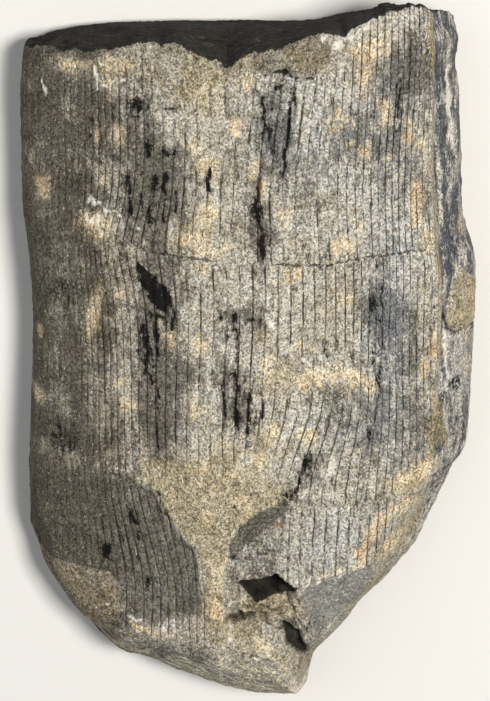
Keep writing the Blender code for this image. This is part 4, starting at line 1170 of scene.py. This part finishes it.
# %% The painted shadow in the crack along the upper joint
# It runs up and down by 0.4 mm from rib to rib, and sways with the clots.
joint_shadow = paint("ShaderNodeMath", count, pi, operation="MULTIPLY")
for operation in ("SINE", "ABSOLUTE"):
    joint_shadow = paint("ShaderNodeMath", joint_shadow, operation=operation)
joint_shadow = paint("ShaderNodeMath", joint_shadow, 0.4, on_stone["off_upper_joint"], operation="MULTIPLY_ADD")
joint_shadow = paint("ShaderNodeMath", clots, 2.2, joint_shadow, operation="MULTIPLY_ADD")
joint_shadow = paint("ShaderNodeMath", joint_shadow, 1.4, operation="SUBTRACT")
joint_shadow = paint("ShaderNodeMath", joint_shadow, operation="ABSOLUTE")
joint_shadow = paint("ShaderNodeMapRange", joint_shadow, 0.08, 0.34, 0.95, 0.0)
joint_shadow = paint("ShaderNodeMath", joint_shadow, on_stone["joint_shows"], operation="MULTIPLY")
# Painted shadow below the rib ends at the upper joint.
over_grain.append((frayed(joint_shadow, [(broken, 1.6), (grains, 0.8)], 0.25, 0.75, 0.85), JOINT_SHADOW_BLACK))
print("crack of", JOINT_SHADOW_BLACK)

# %% The painted shade on the face of the upper end
layers = pattern(0.8, roughness=0.7, stretch=(7, 1, 1), seed=41.0)
end_shade_colour = toned(layers, 0.35, 0.7, END_SHADE_BLACK, END_SHADE_GREY)
scraps = paint("ShaderNodeMath", layers, clots, operation="MULTIPLY")
scraps = paint("ShaderNodeMapRange", scraps, 0.32, 0.42, 0.0, 0.5)
end_shade_colour = paint("ShaderNodeMix", scraps, end_shade_colour, END_SCRAPS, data_type="RGBA")
# The face of the upper end is painted dark, as painted shade.
over_grain.append((frayed(on_stone["end"], [(grains, 0.7), (clots, 0.5)], 0.42, 0.58, 0.96), end_shade_colour))
print("upper end from", END_SHADE_BLACK, "to", END_SHADE_GREY)

# %% The layers laid on, with the grain between them
surface = silt
for amount, colour in under_grain:
    surface = paint("ShaderNodeMix", amount, surface, colour, data_type="RGBA")
gain = paint("ShaderNodeMapRange", fine, 0.0, 1.0, 0.34, 1.62)
even = paint("ShaderNodeMath", facet, -0.45, 1.0, operation="MULTIPLY_ADD")
tint = toned(pattern(1.5, detail=3.0, seed=61.0), 0.4, 0.6, COOL_TINT, WARM_TINT)
for amount, factor in ((even, gain), (1.0, tint)):
    surface = paint("ShaderNodeMix", amount, surface, factor, data_type="RGBA", blend_type="MULTIPLY")
for amount, colour in over_grain:
    surface = paint("ShaderNodeMix", amount, surface, colour, data_type="RGBA")
material.node_tree.links.new(surface, shader.inputs["Base Color"])
print("surface of", len(under_grain) + len(over_grain), "layers and", len(material.node_tree.nodes), "nodes")

# %% Shine and relief
shine = paint("ShaderNodeMath", coal, -0.2, 0.92, operation="MULTIPLY_ADD")
shine = paint("ShaderNodeMath", film, -0.12, shine, operation="MULTIPLY_ADD")
material.node_tree.links.new(shine, shader.inputs["Roughness"])
shader.inputs["Specular IOR Level"].default_value = 0.1
shader.inputs["IOR"].default_value = 1.5
relief = paint("ShaderNodeMath", fine, 0.16, operation="MULTIPLY")
for noise, height in ((grains, 0.6), (clots, 0.7), (line, -0.6), (coal, -0.35)):
    relief = paint("ShaderNodeMath", noise, height, relief, operation="MULTIPLY_ADD")
bump = paint("ShaderNodeBump", 1.0, 0.55 * MM, None, relief)
material.node_tree.links.new(bump, shader.inputs["Normal"])
print("material:", len(material.node_tree.nodes), "nodes")

# %% Run the ribs and keep the plain mesh
ribs = stone.modifiers.new("Ribs and grain", "NODES")
ribs.node_group = ribs_tree
for socket in ribs_tree.interface.items_tree:
    if socket.in_out == "INPUT" and socket.name != "Geometry":
        ribs[socket.identifier] = RIB_INPUTS.get(socket.name, material)
ready = stone.evaluated_get(bpy.context.evaluated_depsgraph_get())
plain = bpy.data.meshes.new_from_object(ready)
stone.modifiers.clear()
stone.data = plain
plain.name = "horsetail_stone"
print("stone:", len(plain.vertices), "points, materials:", [slot.name for slot in plain.materials])

# %% The stone takes the solid's place
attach(stone, "root")
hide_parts("horsetail_plate")
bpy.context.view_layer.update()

# %% [markdown]
# ## Floor, light and camera
#
# The picture looks down on the plate, tipped a little so that the upper end shows. The light is broad and
# comes from the upper right, which leaves the face of the upper end and the left flank in shade. The floor is
# plain and pale.

# %% Floor
floor_mesh = bpy.data.meshes.new("floor")
REACH = 2
corners = [(-REACH, -REACH, 0), (REACH, -REACH, 0), (REACH, REACH, 0), (-REACH, REACH, 0)]
floor_mesh.from_pydata(corners, [], [(0, 1, 2, 3)])
floor = bpy.data.objects.new("floor", floor_mesh)
bpy.context.scene.collection.objects.link(floor)
paper = bpy.data.materials.new("pale paper")
paper.use_nodes = True
sheet = paper.node_tree.nodes["Principled BSDF"].inputs
sheet["Base Color"].default_value = linear("#CFCDC8")
sheet["Roughness"].default_value = 0.9
floor_mesh.materials.append(paper)
print("floor of", paper.name)


# %% Lights
def soft_light(name, spot, size, power, colour):
    """A square soft light that faces the stone."""
    lamp = bpy.data.lights.new(name, "AREA")
    lamp.size, lamp.energy, lamp.color = size, power, linear(colour)[:3]
    holder = bpy.data.objects.new(name, lamp)
    holder.location = spot
    holder.rotation_euler = (-Vector(spot)).to_track_quat("-Z", "Y").to_euler()
    bpy.context.scene.collection.objects.link(holder)


soft_light("key", spot=(0.30, 0.16, 0.79), size=0.20, power=9.4, colour="#FFFCF8")
soft_light("fill", spot=(-0.5, 0.2, 0.7), size=0.8, power=2.2, colour="#EAF1FF")
world = bpy.data.worlds.new("room")
world.use_nodes = True
air = world.node_tree.nodes["Background"].inputs
air["Color"].default_value = linear("#F2F2F2")
air["Strength"].default_value = 0.25
bpy.context.scene.world = world
print("lights: key, fill and room")

# %% Camera
TILT = radians(15)
DISTANCE = 0.6
LENS_LENGTH, SENSOR_WIDTH = 151, 36
look_from = Vector((0, sin(TILT), cos(TILT)))
image_up = Vector((0, cos(TILT), -sin(TILT)))
target = Vector((-0.6 - MIDDLE[0], -MIDDLE[1], 15)) * MM
lens = bpy.data.cameras.new("camera")
lens.lens, lens.sensor_width, lens.clip_start = LENS_LENGTH, SENSOR_WIDTH, 0.01
camera = bpy.data.objects.new("camera", lens)
bpy.context.scene.collection.objects.link(camera)
turned = Matrix((image_up.cross(look_from), image_up, look_from)).transposed().to_4x4()
camera.matrix_world = Matrix.Translation(target + look_from * DISTANCE) @ turned
bpy.context.scene.camera = camera
bpy.context.scene.view_settings.view_transform = "Standard"
print("camera at", [round(v, 3) for v in camera.location])
